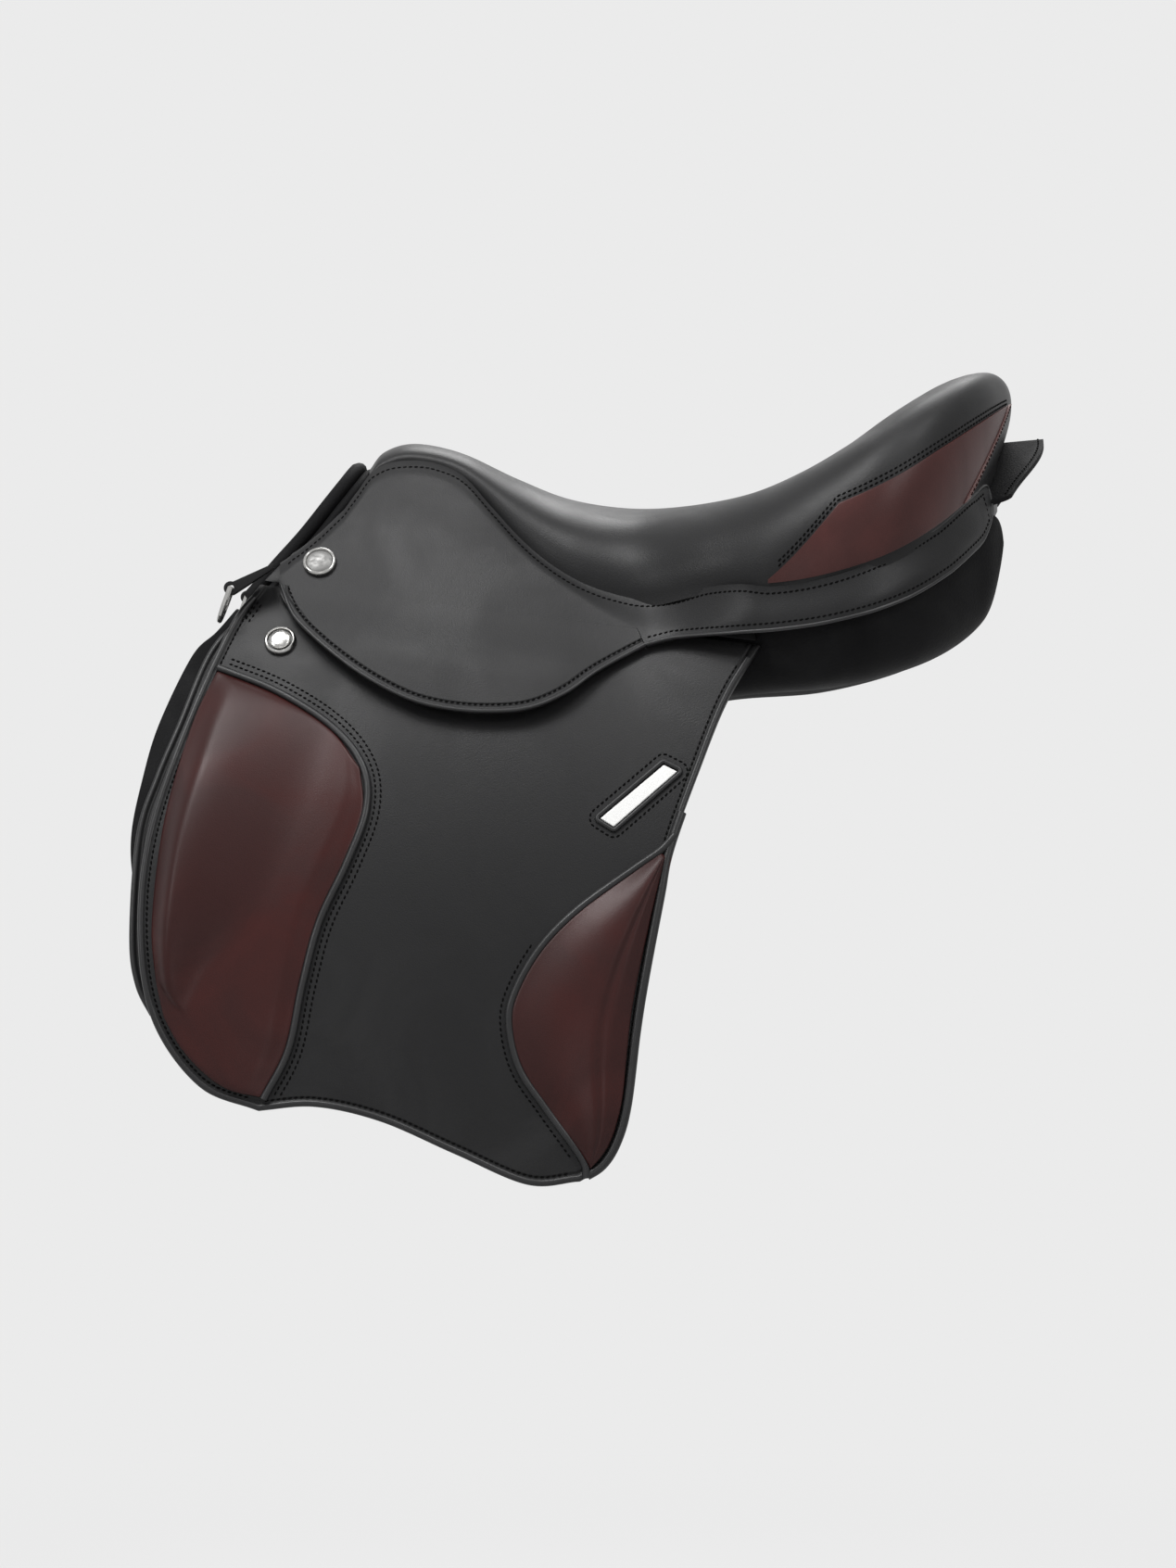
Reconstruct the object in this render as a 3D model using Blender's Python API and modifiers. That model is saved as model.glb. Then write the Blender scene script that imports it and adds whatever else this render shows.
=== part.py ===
"""Endurance saddle, modelled as its separate pieces in their real places.

The horse faces -X, its left (near) side is -Y, and +Z is up. The origin lies on the middle plane of the
horse's back, under the deepest part of the seat and level with the lower edge of the panels.
All lengths are metres. A point on a side of the saddle is given by x and z, and by its depth: the distance
outwards from the outer face of the flap.
"""

import bisect
import math

import bmesh
import bpy
from mathutils import Matrix, Vector

# Shape of the saddle's side: half width at a place of the flap's outer face.
BARREL_HALF = 0.213
BARREL_BOW = 0.31
BARREL_MIDDLE_X = -0.03
LEAN = 0.72
LEAN_LENGTH = 0.07
LEAN_Z = -0.08
REAR_LEAN_LOSS = 0.62
REAR_LEAN_X = (-0.04, 0.22)

# Rim of the seat seen from above: straight sides, then half an ellipse round the cantle.
RIM_HALF = 0.1535
RIM_X = 0.115
RIM_DEPTH = 0.1095
RIM_TAPER = 2.0
RIM_BLEND_X = (0.0, 0.07)

# Fold line that flap and skirt share, as a height over x, and its flare in plan.
FOLD_X = -0.215
FOLD_Z = 0.0755
FOLD_FALL = 0.126
FOLD_FLARE = 0.180
FLAP_FOLD_GAP = 0.0012
SKIRT_FOLD_GAP = 0.0028
SKIRT_LOBE_END_X = -0.002
SKIRT_ROOT_GAP = 0.0004
SKIRT_ROOT_LEAST = 0.002
STRAIGHT_SHARE = 0.72
STRAP_END_ANGLE = 63.0
STRAP_TIP_LENGTH = 0.05           # rounded end of the strap, as a part of the skirt's length
STRAP_TIP_HEIGHT = 0.72           # where its end comes, as a part of the strap's height
STRAP_TIP_LEAST = 0.30
STEP_LENGTH = 0.006

# Depths of the leather layers on a side: inner face, outer face.
SKIRT_LAYER = (0.0025, 0.006)
FLAP_LAYER = (-0.004, 0.0)
TREE_WALL_LAYER = (-0.0125, -0.0046)
POINT_LAYER = (-0.0119, -0.0076)
GULLET_PLATE_LAYER = (-0.0172, -0.0145)
WEB_DEPTH = -0.0066
STRAP_LAYER = (-0.0112, -0.0080)
SWEAT_FLAP_LAYER = (-0.0190, -0.0158)
POCKET_LAYER = (-0.0152, -0.0050)
WING_OUTER = -0.0205
PAD_BASE = 0.0004

SHEET_STEP = 0.01      # part of a sheet's length over which its slope is taken
CURVE_STEPS = 12       # samples between two points of an outline, where it is walked at a steady speed

# Colours and finishes.
BLACK_LEATHER = (0.045, 0.044, 0.046, 1.0)
SOFT_BLACK_LEATHER = (0.040, 0.039, 0.041, 1.0)
MAROON_LEATHER = (0.075, 0.018, 0.016, 1.0)
PALE_LEATHER = (0.80, 0.79, 0.77, 1.0)
STEEL = (0.55, 0.55, 0.57, 1.0)
NICKEL = (0.72, 0.71, 0.69, 1.0)
TREE_POLYMER = (0.10, 0.09, 0.08, 1.0)
WEBBING = (0.55, 0.50, 0.40, 1.0)
FOAM = (0.75, 0.70, 0.52, 1.0)

# Side view of the near flap, as (x, z): front edge, lower edge and rear edge.
FLAP_FRONT = [(-0.2315, 0.0745), (-0.248, 0.052), (-0.274, -0.009), (-0.295, -0.076), (-0.2995, -0.136),
              (-0.290, -0.187), (-0.262, -0.225), (-0.227, -0.239)]
FLAP_BOTTOM = [(-0.227, -0.239), (-0.193, -0.2365), (-0.154, -0.245), (-0.110, -0.264), (-0.067, -0.282),
               (-0.036, -0.280)]
FLAP_REAR = [(0.072, 0.0378), (0.052, 0.005), (0.035, -0.037), (0.018, -0.084), (0.008, -0.158),
             (-0.001, -0.218), (-0.011, -0.257), (-0.036, -0.280)]

# Skirt: stitched upper edge from the front tip over the pommel to the cantle, and lower edge of the strap.
SKIRT_TOP = [(-0.2195, 0.0895), (-0.212, 0.0955), (-0.195, 0.109), (-0.181, 0.123), (-0.172, 0.136),
             (-0.165, 0.1465), (-0.154, 0.1525), (-0.139, 0.154), (-0.125, 0.152), (-0.108, 0.144),
             (-0.091, 0.125), (-0.073, 0.105), (-0.056, 0.090), (-0.039, 0.079), (-0.023, 0.072),
             (0.000, 0.0665), (0.022, 0.068), (0.040, 0.073), (0.060, 0.0745), (0.080, 0.073),
             (0.115, 0.079), (0.150, 0.092), (0.180, 0.110), (0.205, 0.132), (0.2195, 0.150), (0.2245, 0.158)]
SKIRT_LOWER = [(-0.219, 0.0765), (-0.213, 0.061), (-0.203, 0.049), (-0.186, 0.034), (-0.165, 0.019),
               (-0.140, 0.006), (-0.117, 0.0), (-0.092, -0.002), (-0.067, 0.0), (-0.045, 0.009),
               (-0.025, 0.023), (-0.002, 0.037)]
LOBE_FRONT = [(-0.218, 0.069), (-0.2115, 0.059)]
STRAP_LOWER = [(-0.002, 0.037), (0.020, 0.0425), (0.055, 0.045), (0.083, 0.047), (0.111, 0.051),
               (0.138, 0.058), (0.162, 0.068), (0.185, 0.083), (0.205, 0.102), (0.2195, 0.122),
               (0.2245, 0.138)]

# Knee and thigh pads on the flap.
KNEE_FRONT = [(-0.256, 0.023), (-0.270, -0.009), (-0.285, -0.065), (-0.291, -0.124), (-0.283, -0.175)]
KNEE_TOP = [(-0.256, 0.023), (-0.219, 0.008), (-0.186, -0.013), (-0.168, -0.036)]
KNEE_REAR = [(-0.168, -0.036), (-0.166, -0.061), (-0.177, -0.092), (-0.193, -0.127), (-0.203, -0.165),
             (-0.211, -0.203), (-0.225, -0.229)]
KNEE_BOTTOM = [(-0.283, -0.175), (-0.262, -0.210), (-0.225, -0.229)]
THIGH_FRONT = [(0.006, -0.090), (-0.027, -0.116), (-0.060, -0.144), (-0.0755, -0.180), (-0.060, -0.225),
               (-0.038, -0.257)]
THIGH_REAR = [(0.016, -0.092), (0.008, -0.135), (-0.002, -0.185), (-0.009, -0.225), (-0.026, -0.264)]
PAD_EDGE = 0.0022
KNEE_BLOCK = 0.0125               # height of the block, and of the low cushion behind it
KNEE_CUSHION = 0.0035
KNEE_RIDGE = 0.20                 # across the pad: the block's ridge, and where it fades, above and below
KNEE_FADE = (0.70, 0.34)
KNEE_FADE_ROWS = (0.50, 0.90)
KNEE_BLOCK_END = 0.90
CUSHION_EDGE = 0.14
THIGH_CROWN = 0.008
THIGH_RIDGE = 0.66
RISE_POWER = 1.2

# Fixed root of the flap above its fold line, and the lozenge inlay: upper and lower ends.
FLAP_ROOT_TOP = [(-0.2200, 0.0880), (-0.2050, 0.0885), (-0.1000, 0.0760), (0.0680, 0.0500)]
FLAP_ROOT_X = (-0.2290, 0.0700)
INLAY_TOP = [(0.014, -0.034), (0.022, -0.038)]
INLAY_BOTTOM = [(-0.024, -0.066), (-0.016, -0.071)]
INLAY_THICKNESS = 0.0016

# Sweat flap, lying under the flap, and the soft front panel under it.
SWEAT_FRONT = [(-0.243, 0.058), (-0.263, 0.034), (-0.280, -0.009), (-0.293, -0.042), (-0.303, -0.076),
               (-0.306, -0.137), (-0.302, -0.166), (-0.292, -0.186)]
SWEAT_BOTTOM = [(-0.292, -0.186), (-0.255, -0.216), (-0.200, -0.224), (-0.130, -0.236), (-0.050, -0.262)]
SWEAT_REAR = [(0.036, 0.010), (0.024, -0.020), (0.012, -0.080), (-0.002, -0.160), (-0.050, -0.262)]
SWEAT_TOP = [(-0.243, 0.058), (-0.228, 0.034), (-0.180, 0.022), (-0.060, 0.014), (0.036, 0.010)]
WING_FRONT = [(-0.2465, 0.062), (-0.2590, 0.047), (-0.273, 0.033), (-0.292, -0.009), (-0.301, -0.042),
              (-0.307, -0.076), (-0.305, -0.106), (-0.296, -0.150), (-0.272, -0.186)]
WING_REAR = [(-0.234, 0.058), (-0.237, 0.030), (-0.238, -0.020), (-0.222, -0.070), (-0.206, -0.120),
             (-0.212, -0.190)]
WING_CROWN = 0.020
WING_EDGE = 0.006
WING_FULLNESS = (0.7, 0.4)

# Seat surface: stations from the pommel to the middle of the cantle. Each is the seam (x, half width, z),
# the middle line (x, z), the crest's height, and the roll's width as a part of the way in, and its bulge.
SEAT_STATIONS = [
    (-0.166, 0.0465, 0.143, -0.168, 0.149, 0.149, 0.85, 0.0),
    (-0.158, 0.0422, 0.150, -0.157, 0.161, 0.161, 0.85, 0.0),
    (-0.139, 0.0410, 0.154, -0.138, 0.166, 0.166, 0.85, 0.0005),
    (-0.108, 0.0497, 0.144, -0.110, 0.160, 0.160, 0.85, 0.001),
    (-0.073, 0.0776, 0.105, -0.076, 0.144, 0.144, 0.85, 0.003),
    (-0.039, 0.0954, 0.079, -0.043, 0.131, 0.131, 0.84, 0.004),
    (0.000, 0.1077, 0.0665, -0.006, 0.1245, 0.1250, 0.78, 0.005),
    (0.040, 0.1307, 0.073, 0.026, 0.1235, 0.1255, 0.56, 0.006),
    (0.080, 0.1505, 0.073, 0.050, 0.1245, 0.1315, 0.36, 0.006),
    (0.115, 0.1530, 0.079, 0.068, 0.1260, 0.1450, 0.24, 0.007),
    (0.150, 0.1473, 0.091, 0.081, 0.1280, 0.1640, 0.17, 0.008),
    (0.180, 0.1250, 0.109, 0.090, 0.1300, 0.1850, 0.12, 0.009),
    (0.205, 0.0883, 0.131, 0.097, 0.1315, 0.2010, 0.085, 0.009),
    (0.2190, 0.0463, 0.149, 0.101, 0.1325, 0.2080, 0.065, 0.0095),
    (0.2240, 0.0, 0.157, 0.103, 0.1330, 0.2095, 0.055, 0.010),
    (0.2190, -0.0463, 0.149, 0.101, 0.1325, 0.2080, 0.065, 0.0095),
]
LAST_STATION = len(SEAT_STATIONS) - 2
LOWERED_STATIONS = (3.0, 6.0)      # from the pommel to here the seam sinks with each deeper layer
ROLL_SHARE = 0.55                 # part of the way across the half seat that the roll takes

# Nested layers of the seat: how deep each face lies under the leather, and how far in from the seam.
COVER_SINK = 0.0025
FOAM_SINK = (0.0180, 0.0069)
FOAM_INSET = (0.0170, 0.0050)
SEAT_WEB_SINK = (0.0250, 0.0228)
SEAT_WEB_INSET = 0.0170
GIRTH_WEB_SINK = 0.0268
GIRTH_WEB_INSET = 0.0200
GIRTH_WEB_THICKNESS = 0.0016
TREE_SINK = (0.0380, 0.0285)
TREE_INSETS = [(value,) for value in (0.018,) * 4 + (0.020, 0.023, 0.025) + (0.026,) * 8]
TREE_RAIL = 0.009
TREE_SHOULDER = 0.0075
TREE_START = 0.6                  # station where the tree's head starts
SLOT_STATIONS = (2.3, 3.6)        # over these the two rails part behind the head
RAIL_OUTER = 0.06                 # edges of a rail, as parts of the way across
RAIL_INNER = (0.92, 0.50)
SHOULDER_STATIONS = (0.8, 4.5)
SHOULDER_SINK = 0.0008
SHOULDER_INSET = 0.026
SHOULDER_DROP = 0.0035
BAR_PAD_FOOT_Z = 0.033
POINT_FRONT = [(-0.2095, 0.058), (-0.219, 0.010), (-0.219, -0.030)]
POINT_REAR = [(-0.184, 0.058), (-0.187, 0.010), (-0.196, -0.030)]
POINT_TIP = (-0.2075, -0.036)
TREE_WALL_FRONT = [(-0.163, 0.118), (-0.190, 0.080), (-0.2145, 0.045)]
TREE_WALL_REAR = [(-0.056, 0.069), (-0.050, 0.050), (-0.048, 0.026)]
TREE_WALL_BOTTOM = [(-0.2145, 0.045), (-0.120, 0.026), (-0.048, 0.026)]
TREE_WALL_TOP = [(-0.163, 0.118), (-0.139, 0.120), (-0.108, 0.108), (-0.083, 0.088), (-0.056, 0.069)]

# Steel gullet plate: heights and places of its top and feet, width, and the arch's part of its height.
PLATE_Z = (0.1180, 0.0400)
PLATE_X = (-0.1600, -0.1905)
PLATE_WIDTH = 0.024
PLATE_ARCH = 0.3125
PLATE_THICKNESS = 0.003
PLATE_GAP = 0.0005
PLATE_CLEARANCE = 0.006

# Cantle inserts: where they start and end, in stations, and the height of their upper edge on the roll.
INSERT_START = 7.9
INSERT_END = 11.6
INSERT_LEAN = 1.5
INSERT_TOP_ANGLE = 37.0
INSERT_SINK = (-0.0013, -0.0031)
INSERT_FOOT = 0.012
INSERT_TIP = (0.06, 4.0)          # height at the front tip as a part of the full height, and how fast it grows

# Panels: stations from front to rear. Each is x, inner (y, z), outer (y, z) and thickness.
PANEL_STATIONS = [
    (-0.172, (0.036, 0.066), (0.110, -0.030), 0.024),
    (-0.120, (0.034, 0.056), (0.122, -0.038), 0.026),
    (-0.060, (0.036, 0.046), (0.120, -0.024), 0.030),
    (0.000, (0.038, 0.040), (0.114, -0.002), 0.036),
    (0.060, (0.040, 0.046), (0.128, 0.030), 0.058),
    (0.120, (0.042, 0.054), (0.146, 0.040), 0.066),
    (0.175, (0.043, 0.070), (0.122, 0.058), 0.070),
    (0.210, (0.045, 0.088), (0.084, 0.082), 0.066),
    (0.2240, (0.046, 0.104), (0.060, 0.102), 0.044),
]
PANEL_CROWN = 0.30
PANEL_END = 12
PANEL_RIM = 0.0015

# Gullet lining: rows of points from the head roll back under the tree, each from the middle to the foot.
LINING_ROWS = [
    [(-0.1737, 0.0, 0.1435), (-0.1800, 0.0255, 0.1325), (-0.1980, 0.0405, 0.1070), (-0.2270, 0.0565, 0.0750)],
    [(-0.1775, 0.0, 0.1270), (-0.1800, 0.0260, 0.1180), (-0.1920, 0.0450, 0.0950), (-0.2120, 0.0620, 0.0660)],
    [(-0.1710, 0.0, 0.1070), (-0.1720, 0.0260, 0.0995), (-0.1770, 0.0470, 0.0830), (-0.1900, 0.0660, 0.0600)],
    [(-0.1180, 0.0, 0.1015), (-0.1180, 0.0230, 0.0965), (-0.1180, 0.0400, 0.0815), (-0.1240, 0.0520, 0.0630)],
    [(-0.0620, 0.0, 0.0980), (-0.0620, 0.0200, 0.0940), (-0.0620, 0.0340, 0.0800), (-0.0620, 0.0400, 0.0660)],
]
LINING_THICKNESS = 0.0018

# Rolled edge of the panel round the arch of the head, from the middle to the foot on the right.
HEAD_ROLL = [(-0.1737, 0.0, 0.1500), (-0.1755, 0.0180, 0.1480), (-0.1810, 0.0320, 0.1400),
             (-0.1910, 0.0430, 0.1265), (-0.2050, 0.0520, 0.1080), (-0.2205, 0.0600, 0.0900),
             (-0.2300, 0.0655, 0.0785), (-0.2385, 0.0700, 0.0685)]
HEAD_ROLL_RADIUS = 0.0045
HEAD_ROLL_STEPS = 15

# Leather tongue behind the cantle: from the middle round to its side.
TONGUE_END_ANGLE = 65.5
TONGUE_DEPTH = (0.0042, 0.0026)
TONGUE_Z = (0.1650, 0.1330)
TONGUE_REACH = (0.0240, 0.0120)
TONGUE_RISE = (0.0030, -0.0020)
TONGUE_THICKNESS = 0.003

# Stirrup bars. Distances along the bar are from its middle, towards the rear.
BAR_X = -0.112
BAR_Z = 0.046
BAR_FLARE = 0.055
BAR_BLADE_Y = (0.1030, 0.1070)
BAR_BASE_Y = (0.0885, 0.0915)
BAR_PAD_Y = (0.0800, 0.0881)
BAR_PAD_X = (-0.0485, 0.0520)
BAR_PAD_INSIDE = 0.001
BAR_BLADE_X = (-0.0425, 0.0380)
BAR_SHANK = 0.0065
BAR_BASE_X = 0.0540
BAR_BLADE_HEIGHT = 0.011
BAR_RIVET_X = (-0.028, 0.026)
BAR_RIVET_RADIUS = 0.0035
WINDOW_X = (-0.0560, 0.0680)
WINDOW_RISE = 0.004
NOTCH_DROP = 0.030
NOTCH_INSET = 0.005
NOTCH_WIDTH = 0.060
WINDOW_DROP = 0.070
RIVET_HEIGHT = 0.0012
RIVET_GAP = 0.0004
RIVET_TOP_RADIUS = 0.0021
CATCH_MIDDLE = 0.0430
CATCH_LENGTH = 0.014
CATCH_ROUND = 0.0015
CATCH_HEIGHT = 0.008
CATCH_Y = (0.0919, 0.1025)

# Girth webs: stations of their tops, x of their feet. Girth straps: middle x, width and ends.
WEB_STATIONS = {"front": (4.80, 5.44), "rear": (5.56, 6.40)}
WEB_FOOT_X = {"front": (-0.087, -0.061), "rear": (-0.058, -0.003)}
WEB_SHOULDER = (0.0, 0.005, -0.013)
WEB_DROP = [(0.15, 0.044), (0.45, 0.022), (0.80, -0.005), (1.0, -0.030)]
WEB_SEAT_SHARE = 0.55
STRAP_X = {"front": -0.074, "middle": -0.045, "rear": -0.016}
STRAP_WIDTH = 0.026
STRAP_Z = (-0.002, -0.226)
STRAP_TIP_START = 0.93
STRAP_TIP_LOSS = 0.5
GUARD_X = (-0.0905, 0.0005)
GUARD_Z = (-0.042, -0.098)
GUARD_LAYER = (-0.0142, -0.0050)
TUNNEL_LAYER = (-0.0119, -0.0073)
TUNNEL_GAP = 0.0009
TUNNEL_OVERRUN = 0.008
POINT_GAP = 0.0006
POCKET_X = (-0.2255, -0.1785)
POCKET_Z = (-0.004, -0.043)

# Studs and rings.
NAIL = (-0.195, 0.0895)
NAIL_RADIUS = 0.0103
NAIL_PROFILE = [(0.0, 0.0030), (0.0078, 0.0028), (0.0084, 0.0022), (0.0090, 0.0030), (NAIL_RADIUS, 0.0024),
                (NAIL_RADIUS, 0.0), (0.0, 0.0)]
STUD = (-0.218, 0.041)
STUD_RADIUS = 0.0098
STUD_PROFILE = [(0.0, 0.0036), (0.0058, 0.0034), (0.0064, 0.0022), (0.0074, 0.0022), (0.0086, 0.0028),
                (STUD_RADIUS, 0.0012), (STUD_RADIUS, 0.0), (0.0, 0.0)]
HEAD_GAP = 0.0004
DEE_X, DEE_Y, DEE_Z = -0.2485, 0.0945, 0.0735
DEE_WIRE = 0.0016
DEE_HALF_WIDTH = 0.0125
DEE_DEPTH = 0.021
DEE_TILT = 20.0
DEE_STRAIGHT = 0.35
BOW_STEPS = 12
CHAPE_HALF_WIDTH = 0.0075
CHAPE_RADIUS = 0.0042
CHAPE_BORE = 0.0021
CHAPE_ANGLES = (70.0, 310.0)
CHAPE_THICKNESS = 0.003
CHAPE_ROOT = (-0.2225, 0.0870)

SIDES = (("left", -1.0), ("right", 1.0))


def smoothstep(low, high, value):
    """0 below low, 1 above high, and a smooth rise between them."""
    part = min(max((value - low) / (high - low), 0.0), 1.0)
    return part * part * (3.0 - 2.0 * part)


def mix(a, b, part):
    """The value between a and b at a part of the way."""
    return a + (b - a) * part


def spline(points, part):
    """The point at a part of the way, 0 to 1, along a smooth curve through equally weighted points."""
    place = min(max(part, 0.0), 1.0) * (len(points) - 1)
    index = min(int(place), len(points) - 2)
    t = place - index
    middle, after = points[index], points[index + 1]
    before = points[index - 1] if index else [2 * a - b for a, b in zip(middle, after)]
    beyond = points[index + 2] if index + 2 < len(points) else [2 * b - a for a, b in zip(middle, after)]
    result = []
    for p0, p1, p2, p3 in zip(before, middle, after, beyond):
        slope_in = (p2 - p0) / 2
        slope_out = (p3 - p1) / 2
        cubic = (2 * t**3 - 3 * t**2 + 1) * p1 + (t**3 - 2 * t**2 + t) * slope_in
        cubic += (-2 * t**3 + 3 * t**2) * p2 + (t**3 - t**2) * slope_out
        result.append(cubic)
    return result


def height_at(points, x):
    """The z of a curve given as (x, z) points with x rising."""
    index = min(max(bisect.bisect([p[0] for p in points], x) - 1, 0), len(points) - 2)
    part = (x - points[index][0]) / (points[index + 1][0] - points[index][0])
    return spline(points, (index + min(max(part, 0.0), 1.0)) / (len(points) - 1))[1]


def evenly(points):
    """A function of 0 to 1 that runs along a smooth curve through points at a steady speed."""
    steps = CURVE_STEPS * (len(points) - 1)
    samples = [Vector(spline(points, i / steps)) for i in range(steps + 1)]
    lengths = [0.0]
    for first, second in zip(samples, samples[1:]):
        lengths.append(lengths[-1] + (second - first).length)

    def at(part):
        wanted = min(max(part, 0.0), 1.0) * lengths[-1]
        index = min(max(bisect.bisect(lengths, wanted) - 1, 0), steps - 1)
        share = (wanted - lengths[index]) / (lengths[index + 1] - lengths[index])
        return samples[index].lerp(samples[index + 1], share)

    return at


def coons(front, rear, top, bottom):
    """A function of (across, down) that fills the four edges of an outline smoothly."""
    front, rear, top, bottom = evenly(front), evenly(rear), evenly(top), evenly(bottom)

    def at(across, down):
        ruled = top(across) * (1 - down) + bottom(across) * down
        ruled += front(down) * (1 - across) + rear(down) * across
        corners = top(0) * (1 - across) * (1 - down) + top(1) * across * (1 - down)
        corners += bottom(0) * (1 - across) * down + bottom(1) * across * down
        return ruled - corners

    return at


def half_width(x, z):
    """Distance from the middle plane to the flap's outer face."""
    lean = 1.0 - REAR_LEAN_LOSS * smoothstep(*REAR_LEAN_X, x)
    drop = LEAN * LEAN_LENGTH * math.log1p(math.exp((z - LEAN_Z) / LEAN_LENGTH))
    return BARREL_HALF - BARREL_BOW * (x - BARREL_MIDDLE_X) ** 2 - lean * drop


def rim_half(x):
    """Half width of the seat's rim: tapering forward of RIM_X, an ellipse behind it."""
    if x < RIM_X:
        return RIM_HALF - RIM_TAPER * (RIM_X - x) ** 2
    return RIM_HALF * math.sqrt(max(1.0 - ((x - RIM_X) / RIM_DEPTH) ** 2, 0.0))


def skirt_point(x, z, depth):
    """A point of the skirt or its strap: on the side in front, and round the rim behind."""
    part = smoothstep(*RIM_BLEND_X, x)
    if x <= RIM_X:
        return Vector((x, mix(half_width(x, z), rim_half(x), part) + depth, z))
    turn = math.asin(min((x - RIM_X) / RIM_DEPTH, 1.0))
    return Vector((RIM_X + (RIM_DEPTH + depth) * math.sin(turn), (RIM_HALF + depth) * math.cos(turn), z))


def fold_height(x):
    """Height of the fold line over x."""
    return FOLD_Z - FOLD_FALL * (x - FOLD_X)


def seat_point(station, across, sink=0.0, inset=0.0):
    """A point of the seat: across is 0 at the seam and 1 on the middle line."""
    x, y, z, mid_x, mid_z, crest_z, roll, bulge = spline(SEAT_STATIONS, station / (LAST_STATION + 1))
    inwards = Vector((mid_x - x, -y))
    length = inwards.length - inset
    inwards.normalize()
    start = Vector((x, y)) + inwards * inset
    roll_width = roll * length
    if across < ROLL_SHARE:
        angle = across / ROLL_SHARE * math.pi / 2
        way = roll_width * (1 - math.cos(angle)) - bulge * math.sin(2 * angle)
        height = mix(z, crest_z - sink, math.sin(angle))
    else:
        part = (across - ROLL_SHARE) / (1 - ROLL_SHARE)
        way = mix(roll_width, length, part)
        height = mix(crest_z, mid_z, (1 - math.cos(math.pi * part)) / 2) - sink
    lowered = 1 - smoothstep(*LOWERED_STATIONS, station)
    height -= sink * lowered * (1 - math.sin(min(across / ROLL_SHARE, 1.0) * math.pi / 2))
    place = start + inwards * way
    if across >= 1.0 or station >= LAST_STATION:
        place.y = 0.0
    return Vector((place.x, place.y, height))


def new_collection(name):
    collection = bpy.data.collections.new(name)
    bpy.context.scene.collection.children.link(collection)
    return collection


def clear_scene():
    for item in list(bpy.data.objects):
        bpy.data.objects.remove(item, do_unlink=True)


def finish(name, colour, roughness=0.5, metallic=0.0):
    material = bpy.data.materials.new(name)
    material.use_nodes = True
    shader = material.node_tree.nodes["Principled BSDF"]
    shader.inputs["Base Color"].default_value = colour
    shader.inputs["Roughness"].default_value = roughness
    shader.inputs["Metallic"].default_value = metallic
    return material


def add_object(name, mesh_data, collection, material=None):
    item = bpy.data.objects.new(name, mesh_data)
    collection.objects.link(item)
    if material:
        mesh_data.materials.clear()
        mesh_data.materials.append(material)
    return item


def from_bmesh(name, mesh, collection, material=None, smooth=True):
    """Closes a bmesh into a new named object."""
    bmesh.ops.recalc_face_normals(mesh, faces=mesh.faces[:])
    if mesh.calc_volume(signed=True) < 0:
        bmesh.ops.reverse_faces(mesh, faces=mesh.faces[:])
    data = bpy.data.meshes.new(name)
    mesh.to_mesh(data)
    mesh.free()
    if smooth:
        data.shade_smooth()
        data.set_sharp_from_angle(angle=math.radians(40))
    return add_object(name, data, collection, material)


def slab(name, columns, rows, place, collection, material=None, mirrored=False):
    """A closed solid: a grid, extruded once, whose points place(u, v, w) puts where they belong.

    u and v run from 0 to 1 over the grid, and w is 0 on the inner face and 1 on the outer one.
    A mirrored slab is the half on the +Y side, open at the middle plane, with a Mirror modifier.
    """
    mesh = bmesh.new()
    bmesh.ops.create_grid(mesh, x_segments=columns, y_segments=rows, size=0.5)
    extruded = bmesh.ops.extrude_face_region(mesh, geom=mesh.faces[:])["geom"]
    outer = [item for item in extruded if isinstance(item, bmesh.types.BMVert)]
    bmesh.ops.translate(mesh, verts=outer, vec=(0.0, 0.0, 1.0))
    for point in mesh.verts:
        point.co = place(point.co.x + 0.5, point.co.y + 0.5, point.co.z)
    if mirrored:
        on_plane = [face for face in mesh.faces if all(abs(p.co.y) < 1e-6 for p in face.verts)]
        bmesh.ops.delete(mesh, geom=on_plane, context="FACES")
        bmesh.ops.remove_doubles(mesh, verts=mesh.verts[:], dist=1e-6)
    item = from_bmesh(name, mesh, collection, material)
    if mirrored:
        mirror = item.modifiers.new("Mirror", "MIRROR")
        mirror.use_axis = (False, True, False)
        mirror.merge_threshold = 0.0001
    return item


def side_slab(name, sign, outline, layer, cells, collection, material=None, surface=None):
    """A slab over a side-view outline, between two depths of the side surface."""
    inner, outer = layer

    def place(u, v, w):
        x, z = outline(u, v)
        depth = mix(inner, outer, w) if surface is None else surface(u, v, w)
        return Vector((x, sign * (half_width(x, z) + depth), z))

    return slab(name, cells[0], cells[1], place, collection, material)


def tube(name, points, radius, collection, material, closed=False, sides=2):
    """A round bar along points."""
    curve = bpy.data.curves.new(name, "CURVE")
    curve.dimensions = "3D"
    curve.bevel_depth = radius
    curve.bevel_resolution = sides
    curve.use_fill_caps = not closed
    line = curve.splines.new("POLY")
    line.points.add(len(points) - 1)
    for target, point in zip(line.points, points):
        target.co = (*point, 1.0)
    line.use_cyclic_u = closed
    return add_object(name, curve, collection, material)


def box(name, size, matrix, collection, material=None):
    """A box of a full size, placed by a matrix."""
    mesh = bmesh.new()
    bmesh.ops.create_cube(mesh, size=1.0, matrix=Matrix.Diagonal((*size, 1.0)))
    item = from_bmesh(name, mesh, collection, material, smooth=False)
    item.matrix_world = matrix
    return item


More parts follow.
